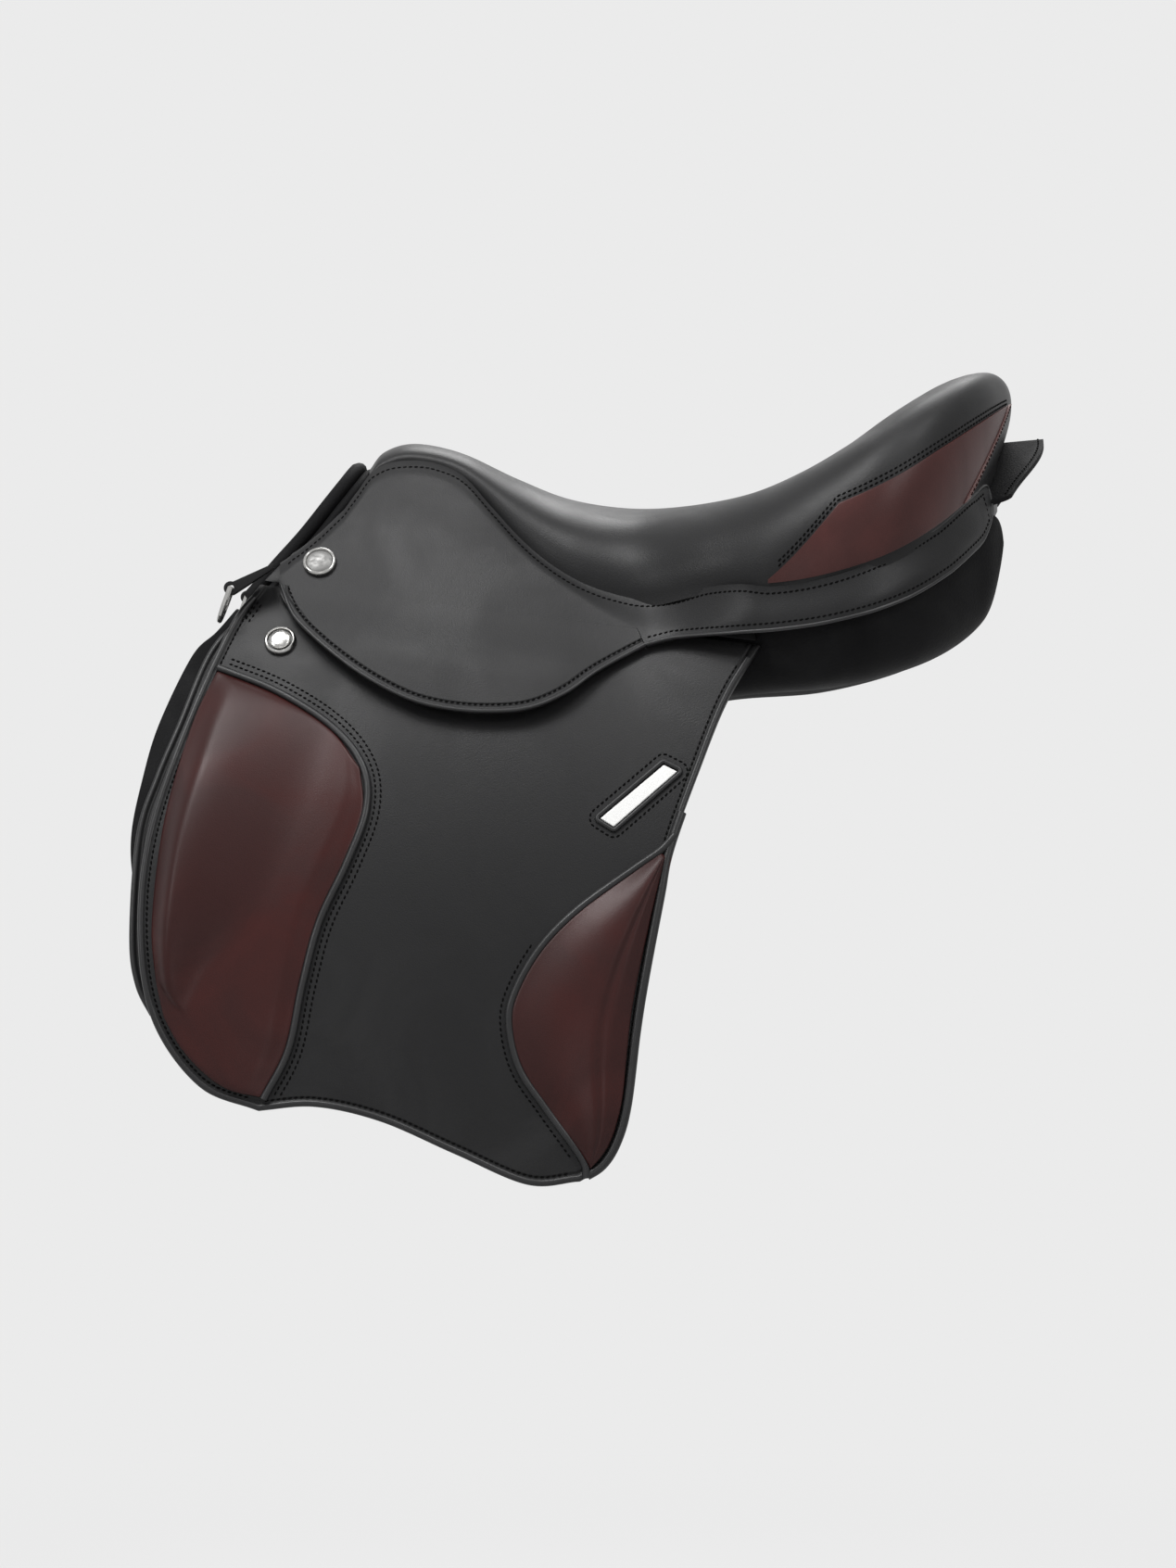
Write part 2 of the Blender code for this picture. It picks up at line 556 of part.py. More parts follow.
def cylinder(name, radius, depth, matrix, collection, material=None, segments=24, top_radius=None):
    """A cylinder or cone along the matrix's Z axis, centred on its origin."""
    mesh = bmesh.new()
    bmesh.ops.create_cone(mesh, cap_ends=True, segments=segments, radius1=radius,
                          radius2=radius if top_radius is None else top_radius, depth=depth)
    item = from_bmesh(name, mesh, collection, material)
    item.matrix_world = matrix
    return item


def boolean(item, cutter, operation="DIFFERENCE"):
    modifier = item.modifiers.new(operation.title(), "BOOLEAN")
    modifier.operation = operation
    modifier.solver = "EXACT"
    modifier.object = cutter
    cutter.hide_render = True
    cutter.display_type = "WIRE"


def bevel(item, width, segments=1):
    modifier = item.modifiers.new("Bevel", "BEVEL")
    modifier.width = width
    modifier.segments = segments
    modifier.limit_method = "ANGLE"


def turned(name, profile, matrix, collection, material, steps=14):
    """A turned piece: a profile of (radius, height) from top to bottom, with a Screw modifier."""
    data = bpy.data.meshes.new(name)
    mesh = bmesh.new()
    points = [mesh.verts.new((radius, 0.0, height)) for radius, height in profile]
    for first, second in zip(points, points[1:]):
        mesh.edges.new((first, second))
    mesh.to_mesh(data)
    mesh.free()
    item = add_object(name, data, collection, material)
    screw = item.modifiers.new("Screw", "SCREW")
    screw.steps = steps
    screw.render_steps = steps
    screw.use_merge_vertices = True
    screw.merge_threshold = 0.00005
    item.matrix_world = matrix
    return item


def side_frame(x, z, sign, depth):
    """A matrix on a side of the saddle: X rearwards and Z outwards, square to the surface there."""
    step = 0.002
    point = Vector((x, sign * (half_width(x, z) + depth), z))
    rearwards = Vector((2 * step, sign * (half_width(x + step, z) - half_width(x - step, z)), 0.0))
    upwards = Vector((0.0, sign * (half_width(x, z + step) - half_width(x, z - step)), 2 * step))
    out = rearwards.cross(upwards).normalized()
    if out.y * sign < 0:
        out.negate()
    rearwards.normalize()
    frame = Matrix((rearwards, out.cross(rearwards), out)).transposed().to_4x4()
    frame.translation = point
    return frame


def make_seat(parts, looks):
    """Leather seat, foam, webbing and the two cantle inserts."""

    def nested(sinks, insets, first, last, low, high):
        def place(u, v, w):
            station = mix(first, last, u)
            across = mix(low, high, v)
            return seat_point(station, across, mix(*sinks, w), mix(*insets, w))
        return place

    cover = nested((COVER_SINK, 0.0), (COVER_SINK, 0.0), 0.0, LAST_STATION, 0.0, 1.0)
    slab("seat_cover", 26, 8, cover, parts, looks["black"], mirrored=True)
    foam = nested(FOAM_SINK, FOAM_INSET, 0.5, LAST_STATION, 0.0, 1.0)
    slab("seat_foam", 25, 6, foam, parts, looks["foam"], mirrored=True)
    web = nested(SEAT_WEB_SINK, (SEAT_WEB_INSET, SEAT_WEB_INSET), 2.0, LAST_STATION, 0.62, 1.0)
    slab("seat_webbing", 14, 3, web, parts, looks["webbing"], mirrored=True)

    def insert(sign):
        def place(u, v, w):
            angle = v * INSERT_TOP_ANGLE * min(1.0, INSERT_TIP[0] + INSERT_TIP[1] * u)
            station = mix(INSERT_START, INSERT_END + INSERT_LEAN * v, u)
            across = angle / 90.0 * ROLL_SHARE + INSERT_FOOT
            point = seat_point(station, across, mix(*INSERT_SINK, w), mix(*INSERT_SINK, w))
            return Vector((point.x, sign * point.y, point.z))
        return place

    for side, sign in SIDES:
        slab(f"cantle_insert_{side}", 12, 3, insert(sign), parts, looks["maroon"])


def make_skirts(parts, looks):
    """Skirts: a fixed upper part with its strap, the lobe that lifts, and the nail head in front."""
    first_x, last_x = SKIRT_TOP[0][0], SKIRT_TOP[-1][0]
    corner = Vector((SKIRT_LOBE_END_X, fold_height(SKIRT_LOBE_END_X) - SKIRT_FOLD_GAP))
    front = SKIRT_LOWER[0]
    lobe = coons(
        [(front[0], fold_height(front[0]) - SKIRT_FOLD_GAP)] + LOBE_FRONT,
        [tuple(corner), (corner.x, mix(corner.y, SKIRT_LOWER[-1][1], 0.5)), SKIRT_LOWER[-1]],
        [(front[0], fold_height(front[0]) - SKIRT_FOLD_GAP), tuple(corner)],
        [LOBE_FRONT[-1]] + SKIRT_LOWER[2:],
    )

    def fixed(sign):
        def place(u, v, w):
            if u < STRAIGHT_SHARE:
                x = mix(first_x, RIM_X, u / STRAIGHT_SHARE)
            else:
                turn = (u - STRAIGHT_SHARE) / (1 - STRAIGHT_SHARE) * math.radians(STRAP_END_ANGLE)
                x = RIM_X + (last_x - RIM_X) * math.sin(turn)
            top = height_at(SKIRT_TOP, x)
            folded = min(fold_height(x) + SKIRT_ROOT_GAP, top - SKIRT_ROOT_LEAST)
            part = smoothstep(0.0, STEP_LENGTH, x - SKIRT_LOBE_END_X - SKIRT_ROOT_GAP)
            low = mix(folded, height_at(STRAP_LOWER, max(x, STRAP_LOWER[0][0])), part)
            into_tip = max(u - 1 + STRAP_TIP_LENGTH, 0.0) / STRAP_TIP_LENGTH
            narrow = mix(STRAP_TIP_LEAST, 1.0, math.sqrt(1 - min(into_tip, 1.0) ** 2))
            tip = mix(low, top, STRAP_TIP_HEIGHT)
            point = skirt_point(x, tip + (mix(top, low, v) - tip) * narrow, mix(*SKIRT_LAYER, w))
            return Vector((point.x, sign * point.y, point.z))
        return place

    for side, sign in SIDES:
        slab(f"skirt_root_{side}", 36, 2, fixed(sign), parts, looks["black"])
        side_slab(f"skirt_{side}", sign, lobe, SKIRT_LAYER, (12, 4), parts, looks["black"])
        frame = side_frame(*NAIL, sign, SKIRT_LAYER[1] + HEAD_GAP)
        turned(f"skirt_nail_{side}", NAIL_PROFILE, frame, parts, looks["nickel"])


def knee_height(u, v):
    """Height of the knee pad: a block with its ridge near the front, and a low cushion behind it."""
    fade = mix(*KNEE_FADE, smoothstep(*KNEE_FADE_ROWS, v))
    if u < KNEE_RIDGE:
        block = math.sin(u / KNEE_RIDGE * math.pi / 2) ** RISE_POWER
    else:
        block = (1 + math.cos(math.pi * min((u - KNEE_RIDGE) / (fade - KNEE_RIDGE), 1.0))) / 2
    block *= math.sqrt(max(math.sin(math.pi * min(v / KNEE_BLOCK_END, 1.0)), 0.0))
    cushion = smoothstep(0.0, CUSHION_EDGE, u) * smoothstep(0.0, CUSHION_EDGE, 1 - u)
    return PAD_EDGE + KNEE_BLOCK * block + KNEE_CUSHION * cushion * math.sqrt(4 * v * (1 - v))


def thigh_height(u, v):
    """Height of the thigh pad: it rises slowly to a ridge near the rear."""
    across = u / THIGH_RIDGE if u < THIGH_RIDGE else (1 - u) / (1 - THIGH_RIDGE)
    return PAD_EDGE + THIGH_CROWN * math.sqrt(4 * v * (1 - v)) * math.sin(across * math.pi / 2) ** RISE_POWER


def make_flaps(parts, cutters, looks):
    """Flaps with their fixed roots, pads, inlays and studs."""
    top = [(FLAP_FRONT[0][0], fold_height(FLAP_FRONT[0][0]) - FLAP_FOLD_GAP),
           (FLAP_REAR[0][0], fold_height(FLAP_REAR[0][0]) - FLAP_FOLD_GAP)]
    flap = coons([top[0]] + FLAP_FRONT[1:], [top[1]] + FLAP_REAR[1:], top, FLAP_BOTTOM)
    root_bottom = [(x, fold_height(x) + FLAP_FOLD_GAP) for x in FLAP_ROOT_X]
    root_front = [FLAP_ROOT_TOP[0], root_bottom[0]]
    root_rear = [FLAP_ROOT_TOP[-1], root_bottom[-1]]
    root = coons(root_front, root_rear, FLAP_ROOT_TOP, root_bottom)
    knee = coons(KNEE_FRONT, KNEE_REAR, KNEE_TOP, KNEE_BOTTOM)
    thigh_top = [THIGH_FRONT[0], THIGH_REAR[0]]
    thigh_bottom = [THIGH_FRONT[-1], THIGH_REAR[-1]]
    thigh = coons(THIGH_FRONT, THIGH_REAR, thigh_top, thigh_bottom)
    inlay_sides = [[INLAY_TOP[end], INLAY_BOTTOM[end]] for end in range(2)]
    inlay = coons(*inlay_sides, INLAY_TOP, INLAY_BOTTOM)

    def knee_surface(u, v, w):
        return PAD_BASE + w * knee_height(u, v)

    def thigh_surface(u, v, w):
        return PAD_BASE + w * thigh_height(u, v)

    for side, sign in SIDES:
        leather = side_slab(f"flap_{side}", sign, flap, FLAP_LAYER, (12, 12), parts, looks["black"])
        boolean(leather, notch_cutter(f"flap_notch_{side}", sign, NOTCH_DROP, cutters))
        side_slab(f"flap_root_{side}", sign, root, FLAP_LAYER, (14, 1), parts, looks["black"])
        side_slab(f"knee_pad_{side}", sign, knee, (0, 0), (10, 14), parts, looks["maroon"], knee_surface)
        side_slab(f"thigh_pad_{side}", sign, thigh, (0, 0), (7, 12), parts, looks["maroon"], thigh_surface)
        side_slab(f"flap_inlay_{side}", sign, inlay, (PAD_BASE, INLAY_THICKNESS), (2, 5), parts, looks["pale"])
        frame = side_frame(*STUD, sign, HEAD_GAP)
        turned(f"flap_stud_{side}", STUD_PROFILE, frame, parts, looks["nickel"])


def bar_frame(sign):
    """A matrix at the middle of a stirrup bar: X rearwards along it, Y outwards on the right, Z up."""
    turn = math.atan(BAR_FLARE) * sign
    return Matrix.Translation((BAR_X, 0.0, BAR_Z)) @ Matrix.Rotation(turn, 4, "Z")


def notch_cutter(name, sign, drop, cutters):
    """A box along the fold line that clears the stirrup bar."""
    low, high = WINDOW_X
    middle_x = BAR_X + (low + high) / 2
    turn = math.atan(FOLD_FLARE) * sign
    fall = math.atan(FOLD_FALL)
    fold = fold_height(middle_x)
    y = sign * (half_width(middle_x, fold) - NOTCH_INSET)
    centre = Vector((middle_x, y, fold - (drop - WINDOW_RISE) / 2))
    matrix = Matrix.Translation(centre) @ Matrix.Rotation(turn, 4, "Z") @ Matrix.Rotation(fall, 4, "Y")
    return box(name, (high - low, NOTCH_WIDTH, drop + WINDOW_RISE), matrix, cutters)


def point_outline(grow=0.0):
    """Outline of a tree point, grown a little for the pocket that holds it."""
    front = [(x - grow, z) for x, z in POINT_FRONT]
    rear = [(x + grow, z) for x, z in POINT_REAR]
    front[-1] = (front[-1][0], front[-1][1] - grow)
    rear[-1] = (rear[-1][0], rear[-1][1] - grow)
    foot = [front[-1], (POINT_TIP[0], POINT_TIP[1] - grow), rear[-1]]
    return coons(front, rear, [front[0], rear[0]], foot)


def make_tree(parts, cutters, looks):
    """Tree with its side walls and points, and the steel gullet plate under its head."""

    def ring(u, v, w):
        station = mix(TREE_START, LAST_STATION, u)
        inner = 1.0 if station < SLOT_STATIONS[0] else mix(*RAIL_INNER, smoothstep(*SLOT_STATIONS, station))
        inset = spline(TREE_INSETS, station / LAST_STATION)[0] + (1 - w) * TREE_RAIL
        return seat_point(station, mix(RAIL_OUTER, inner, v), mix(*TREE_SINK, w), inset)

    def shoulder(sign):
        def place(u, v, w):
            station = mix(*SHOULDER_STATIONS, u)
            start = seat_point(station, RAIL_OUTER, TREE_SINK[1] + SHOULDER_SINK, SHOULDER_INSET)
            z = height_at(TREE_WALL_TOP, start.x) - SHOULDER_DROP
            end = Vector((start.x, half_width(start.x, z) + sum(TREE_WALL_LAYER) / 2, z))
            point = start.lerp(end, v)
            return Vector((point.x, sign * point.y, point.z - (1 - w) * TREE_SHOULDER))
        return place

    def bar_pad(sign):
        def place(u, v, w):
            point = bar_frame(sign) @ Vector((mix(*BAR_PAD_X, u), sign * mix(*BAR_PAD_Y, w), 0.0))
            top = height_at(TREE_WALL_TOP, point.x) - SHOULDER_DROP - TREE_SHOULDER / 2
            z = mix(BAR_PAD_FOOT_Z, top, v)
            limit = half_width(point.x, z) + mix(TREE_WALL_LAYER[0], TREE_WALL_LAYER[1] - BAR_PAD_INSIDE, w)
            return Vector((point.x, sign * min(abs(point.y), limit), z))
        return place

    tree = slab("tree", 22, 5, ring, parts, looks["tree"], mirrored=True)
    wall = coons(TREE_WALL_FRONT, TREE_WALL_REAR, TREE_WALL_TOP, TREE_WALL_BOTTOM)
    for side, sign in SIDES:
        plate = side_slab(f"tree_wall_{side}", sign, wall, TREE_WALL_LAYER, (8, 6), cutters)
        boolean(plate, notch_cutter(f"tree_window_{side}", sign, WINDOW_DROP, cutters))
        boolean(tree, plate, "UNION")
        boolean(tree, slab(f"tree_shoulder_{side}", 8, 2, shoulder(sign), cutters), "UNION")
        point = side_slab(f"tree_point_{side}", sign, point_outline(), POINT_LAYER, (2, 4), cutters)
        boolean(tree, point, "UNION")
        boolean(tree, slab(f"bar_pad_{side}", 4, 5, bar_pad(sign), cutters), "UNION")

    def arch(grow, under):
        """The gullet plate: an inverted U that follows the head and the points."""
        def place(u, v, w):
            z = mix(PLATE_Z[0] + grow, PLATE_Z[1] - grow, v)
            x = mix(*PLATE_X, v) + (u - 0.5) * (PLATE_WIDTH + 2 * grow)
            depth = mix(GULLET_PLATE_LAYER[0] - under, GULLET_PLATE_LAYER[1] + grow, w)
            across = min(1.0, math.sqrt(v / PLATE_ARCH))
            drop = (PLATE_THICKNESS + under) * (1 - w) * (1 - across)
            return Vector((x, (half_width(x, z) + depth) * across, z - drop))
        return place

    slab("gullet_plate", 3, 14, arch(0.0, 0.0), parts, looks["steel"], mirrored=True)
    boolean(tree, slab("plate_recess", 3, 14, arch(PLATE_GAP, PLATE_CLEARANCE), cutters, mirrored=True))


def make_bars(parts, looks):
    """Stirrup bars with their rivets and thumb catches."""
    half_blade = BAR_BLADE_HEIGHT / 2
    for side, sign in SIDES:
        frame = bar_frame(sign)
        inside_x = BAR_BLADE_X[0] + BAR_SHANK
        outline = [(BAR_BLADE_X[0], BAR_BASE_Y[0]), (BAR_BLADE_X[0], BAR_BLADE_Y[1]),
                   (BAR_BLADE_X[1], BAR_BLADE_Y[1]), (BAR_BLADE_X[1], BAR_BLADE_Y[0]),
                   (inside_x, BAR_BLADE_Y[0]), (inside_x, BAR_BASE_Y[1]),
                   (BAR_BASE_X, BAR_BASE_Y[1]), (BAR_BASE_X, BAR_BASE_Y[0])]
        mesh = bmesh.new()
        base = mesh.faces.new([mesh.verts.new((x, sign * y, -half_blade)) for x, y in outline])
        top = bmesh.ops.extrude_face_region(mesh, geom=[base])["geom"]
        for point in top:
            if isinstance(point, bmesh.types.BMVert):
                point.co.z = half_blade
        bar = from_bmesh(f"stirrup_bar_{side}", mesh, parts, looks["steel"], smooth=False)
        bar.matrix_world = frame
        for end, place in zip(("front", "rear"), BAR_RIVET_X):
            middle = Vector((place, sign * (BAR_BASE_Y[1] + RIVET_GAP + RIVET_HEIGHT / 2), 0.0))
            turn = Matrix.Rotation(-sign * math.pi / 2, 4, "X")
            cylinder(f"bar_rivet_{end}_{side}", BAR_RIVET_RADIUS, RIVET_HEIGHT,
                     frame @ Matrix.Translation(middle) @ turn, parts, looks["steel"], segments=14,
                     top_radius=RIVET_TOP_RADIUS)
        catch_middle = Vector((CATCH_MIDDLE, sign * sum(CATCH_Y) / 2, 0.0))
        catch = box(f"stirrup_catch_{side}", (CATCH_LENGTH, CATCH_Y[1] - CATCH_Y[0], CATCH_HEIGHT),
                    frame @ Matrix.Translation(catch_middle), parts, looks["steel"])
        bevel(catch, CATCH_ROUND, 2)


def thick(centre, thickness):
    """A place function for slab: a curved sheet, with its thickness square to it."""
    step = SHEET_STEP

    def place(u, v, w):
        along = centre(min(u + step, 1.0), v) - centre(max(u - step, 0.0), v)
        across = centre(u, min(v + step, 1.0)) - centre(u, max(v - step, 0.0))
        normal = along.cross(across).normalized()
        point = centre(u, v)
        moved = point + normal * thickness * (w - 0.5)
        if abs(point.y) < 1e-6:
            moved.y = 0.0
        return moved

    return place


def make_girth(parts, cutters, looks):
    """Girth webs over the tree, girth straps, and the buckle guards that slide on them."""

    def web(name):
        def centre(u, v):
            station = mix(*WEB_STATIONS[name], u)
            if v < WEB_SEAT_SHARE:
                return seat_point(station, mix(1.0, 0.03, v / WEB_SEAT_SHARE), GIRTH_WEB_SINK, GIRTH_WEB_INSET)
            rail = seat_point(station, 0.03, GIRTH_WEB_SINK, GIRTH_WEB_INSET)
            foot_x = mix(*WEB_FOOT_X[name], u)
            line = [rail, rail + Vector(WEB_SHOULDER)]
            for share, z in WEB_DROP:
                x = mix(rail.x, foot_x, share)
                line.append(Vector((x, half_width(x, z) + WEB_DEPTH, z)))
            return Vector(spline(line, (v - WEB_SEAT_SHARE) / (1 - WEB_SEAT_SHARE)))
        return centre

    for place in WEB_STATIONS:
        sheet = thick(web(place), GIRTH_WEB_THICKNESS)
        slab(f"girth_web_{place}", 2, 22, sheet, parts, looks["webbing"], mirrored=True)

    def strap(middle, half, top, bottom):
        def at(u, v):
            taper = 1 - STRAP_TIP_LOSS * smoothstep(STRAP_TIP_START, 1.0, v)
            return Vector((middle + (u - 0.5) * 2 * half * taper, mix(top, bottom, v)))
        return at

    def straight(middle, half, top, bottom):
        def at(u, v):
            return Vector((middle + (u - 0.5) * 2 * half, mix(top, bottom, v)))
        return at

    for side, sign in SIDES:
        outline = straight(sum(GUARD_X) / 2, (GUARD_X[1] - GUARD_X[0]) / 2, *GUARD_Z)
        guard = side_slab(f"buckle_guard_{side}", sign, outline, GUARD_LAYER, (6, 3), parts, looks["black"])
        for place, middle in STRAP_X.items():
            outline = strap(middle, STRAP_WIDTH / 2, *STRAP_Z)
            side_slab(f"girth_strap_{place}_{side}", sign, outline, STRAP_LAYER, (2, 16), parts, looks["black"])
            tunnel_z = (GUARD_Z[0] + TUNNEL_OVERRUN, GUARD_Z[1] - TUNNEL_OVERRUN)
            outline = straight(middle, STRAP_WIDTH / 2 + TUNNEL_GAP, *tunnel_z)
            tunnel = side_slab(f"guard_tunnel_{place}_{side}", sign, outline, TUNNEL_LAYER, (2, 4), cutters)
            boolean(guard, tunnel)


def make_panels(parts, cutters, looks):
    """Rear panels, front panels, head roll, gullet lining, sweat flaps and the pockets for the tree's points."""
    stations = [(x, *inner, *outer, thickness) for x, inner, outer, thickness in PANEL_STATIONS]

    def panel(sign):
        def place(u, v, w):
            along = (1 - math.cos(math.pi * u)) / 2
            x, inner_y, inner_z, outer_y, outer_z, thickness = spline(stations, along)
            side = Vector((0.0, outer_y - inner_y, outer_z - inner_z))
            up = Vector((0.0, -side.z, side.y)).normalized()
            full = (4 * v * (1 - v)) ** PANEL_CROWN * math.sqrt(1 - abs(2 * along - 1) ** PANEL_END)
            half = max(thickness / 2 * full, PANEL_RIM)
            point = Vector((x, inner_y, inner_z)) + side * v + up * (2 * w - 1) * half
            return Vector((point.x, sign * point.y, point.z))
        return place

    def wing_surface(u, v, w):
        across = math.sin(math.pi * min(max(u, 0.0), 1.0)) ** WING_FULLNESS[0]
        full = across * (4 * v * (1 - v)) ** WING_FULLNESS[1]
        return WING_OUTER - (1 - w) * (WING_EDGE + WING_CROWN * full)

    sweat = coons(SWEAT_FRONT, SWEAT_REAR, SWEAT_TOP, SWEAT_BOTTOM)
    wing = coons(WING_FRONT, WING_REAR, [WING_FRONT[0], WING_REAR[0]], [WING_FRONT[-1], WING_REAR[-1]])

    def pocket(u, v):
        return Vector((mix(*POCKET_X, u), mix(*POCKET_Z, v)))

    for side, sign in SIDES:
        slab(f"panel_{side}", 16, 8, panel(sign), parts, looks["soft"])
        side_slab(f"front_panel_{side}", sign, wing, (0, 0), (7, 14), parts, looks["soft"], wing_surface)
        side_slab(f"sweat_flap_{side}", sign, sweat, SWEAT_FLAP_LAYER, (9, 9), parts, looks["black"])
        holder = side_slab(f"point_pocket_{side}", sign, pocket, POCKET_LAYER, (4, 4), parts, looks["black"])
        layer = (POINT_LAYER[0] - POINT_GAP, POINT_LAYER[1] + POINT_GAP)
        hollow = side_slab(f"pocket_hollow_{side}", sign, point_outline(POINT_GAP), layer, (2, 4), cutters)
        boolean(holder, hollow)

    right = evenly(HEAD_ROLL)
    points = [right(i / HEAD_ROLL_STEPS) for i in range(HEAD_ROLL_STEPS + 1)]
    points = [Vector((p.x, -p.y, p.z)) for p in reversed(points[1:])] + points
    tube("panel_head_roll", points, HEAD_ROLL_RADIUS, parts, looks["soft"])

    def lining(u, v):
        return Vector(spline([spline(row, v) for row in LINING_ROWS], u))

    slab("gullet_lining", 9, 6, thick(lining, LINING_THICKNESS), parts, looks["black"], mirrored=True)


def make_trim(parts, cutters, looks):
    """Dee rings in their chapes, and the leather tongue behind the cantle."""
    for side, sign in SIDES:
        tilt = math.radians(DEE_TILT)
        down = Vector((-math.sin(tilt), 0.0, -math.cos(tilt)))
        middle = Vector((DEE_X, sign * DEE_Y, DEE_Z))
        bow = []
        for i in range(BOW_STEPS + 1):
            angle = math.pi * i / BOW_STEPS
            reach = DEE_DEPTH * (DEE_STRAIGHT + (1 - DEE_STRAIGHT) * math.sin(angle))
            bow.append(middle + down * reach + Vector((0.0, DEE_HALF_WIDTH * math.cos(angle), 0.0)))
        end = Vector((0.0, DEE_HALF_WIDTH, 0.0))
        bow = [middle + end] + bow + [middle - end]
        tube(f"dee_ring_{side}", bow, DEE_WIRE, parts, looks["nickel"], closed=True)

        loop = []
        for i in range(BOW_STEPS + 1):
            angle = math.radians(mix(*CHAPE_ANGLES, i / BOW_STEPS))
            loop.append((DEE_X + CHAPE_RADIUS * math.cos(angle), DEE_Z + CHAPE_RADIUS * math.sin(angle)))
        root_x, root_z = CHAPE_ROOT
        loop += [(root_x, root_z - CHAPE_THICKNESS / 2), (root_x, root_z + CHAPE_THICKNESS / 2)]
        mesh = bmesh.new()
        low, high = sign * (DEE_Y - CHAPE_HALF_WIDTH), sign * (DEE_Y + CHAPE_HALF_WIDTH)
        face = mesh.faces.new([mesh.verts.new((x, low, z)) for x, z in loop])
        geometry = bmesh.ops.extrude_face_region(mesh, geom=[face])["geom"]
        for point in geometry:
            if isinstance(point, bmesh.types.BMVert):
                point.co.y = high
        chape = from_bmesh(f"dee_chape_{side}", mesh, parts, looks["black"])
        turn = Matrix.Translation(middle) @ Matrix.Rotation(math.pi / 2, 4, "X")
        boolean(chape, cylinder(f"chape_bore_{side}", CHAPE_BORE, 4 * CHAPE_HALF_WIDTH, turn, cutters))

    def tongue(u, v, w):
        turn = math.radians(mix(90.0, TONGUE_END_ANGLE, u))
        depth = mix(*TONGUE_DEPTH, u)
        x = RIM_X + (RIM_DEPTH + depth) * math.sin(turn)
        y = (RIM_HALF + depth) * math.cos(turn)
        out = Vector((math.sin(turn), math.cos(turn)))
        reach = mix(*TONGUE_REACH, smoothstep(0.0, 1.0, u)) * v
        z = mix(*TONGUE_Z, u) + mix(*TONGUE_RISE, u) * v + (w - 0.5) * TONGUE_THICKNESS
        return Vector((x + out.x * reach, y + out.y * reach if u > 0 else 0.0, z))

    slab("rear_tongue", 10, 4, tongue, parts, looks["black"], mirrored=True)


def build():
    clear_scene()
    parts = new_collection("endurance_saddle")
    cutters = new_collection("cutters")
    looks = {
        "black": finish("black_leather", BLACK_LEATHER, 0.42),
        "soft": finish("soft_black_leather", SOFT_BLACK_LEATHER, 0.5),
        "maroon": finish("maroon_leather", MAROON_LEATHER, 0.32),
        "pale": finish("pale_leather", PALE_LEATHER, 0.4),
        "steel": finish("steel", STEEL, 0.4, 1.0),
        "nickel": finish("nickel", NICKEL, 0.2, 1.0),
        "tree": finish("tree_polymer", TREE_POLYMER, 0.6),
        "webbing": finish("webbing", WEBBING, 0.8),
        "foam": finish("foam", FOAM, 0.9),
    }
    make_seat(parts, looks)
    make_skirts(parts, looks)
    make_flaps(parts, cutters, looks)
    make_tree(parts, cutters, looks)
    make_bars(parts, looks)
    make_girth(parts, cutters, looks)
    make_panels(parts, cutters, looks)
    make_trim(parts, cutters, looks)


build()
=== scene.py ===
"""Looks of the endurance saddle: its leathers, pads, seams, stitching and metal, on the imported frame.

The horse faces -X, its left (near) side is -Y and +Z is up. A place on a side of the saddle is given by x,
z and depth, which is the distance outwards from the flap's outer face. All lengths are metres.
"""

import bisect
import math

import bpy
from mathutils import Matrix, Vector
from mathutils.bvhtree import BVHTree
from mathutils.kdtree import KDTree


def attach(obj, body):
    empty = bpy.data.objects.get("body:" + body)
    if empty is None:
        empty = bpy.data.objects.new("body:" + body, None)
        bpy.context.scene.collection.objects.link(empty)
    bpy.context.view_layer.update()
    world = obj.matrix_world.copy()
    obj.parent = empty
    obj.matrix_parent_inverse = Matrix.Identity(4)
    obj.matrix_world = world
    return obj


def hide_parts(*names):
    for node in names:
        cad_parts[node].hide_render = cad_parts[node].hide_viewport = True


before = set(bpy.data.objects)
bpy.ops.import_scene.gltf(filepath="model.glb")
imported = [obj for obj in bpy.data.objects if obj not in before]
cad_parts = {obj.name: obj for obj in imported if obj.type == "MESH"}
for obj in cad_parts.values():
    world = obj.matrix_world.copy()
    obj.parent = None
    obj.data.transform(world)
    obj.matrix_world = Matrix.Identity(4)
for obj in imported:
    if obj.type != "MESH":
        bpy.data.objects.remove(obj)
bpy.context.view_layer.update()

SIDES = (("left", -1.0), ("right", 1.0))

# The camera stands where the photograph was taken from.
CAMERA_PLACE = (-0.0313, -4.0, -0.0456)
CAMERA_LENS = 147.3
FLOOR_Z = -0.62
PAPER = (0.831, 0.831, 0.831, 1.0)

# Shape of the saddle's side and of the seat's rim.
BARREL_HALF = 0.213
BARREL_BOW = 0.31
BARREL_MIDDLE_X = -0.03
LEAN = 0.72
LEAN_LENGTH = 0.07
LEAN_Z = -0.08
REAR_LEAN_LOSS = 0.62
REAR_LEAN_X = (-0.04, 0.22)
RIM_HALF = 0.1535
RIM_X = 0.115
RIM_DEPTH = 0.1095
RIM_TAPER = 2.0
RIM_BLEND_X = (0.0, 0.07)
FOLD_X = -0.215
FOLD_Z = 0.0755
FOLD_FALL = 0.126
LOBE_END_X = -0.002
STEP_LENGTH = 0.006
ROLL_SHARE = 0.55
LAST_STATION = 14

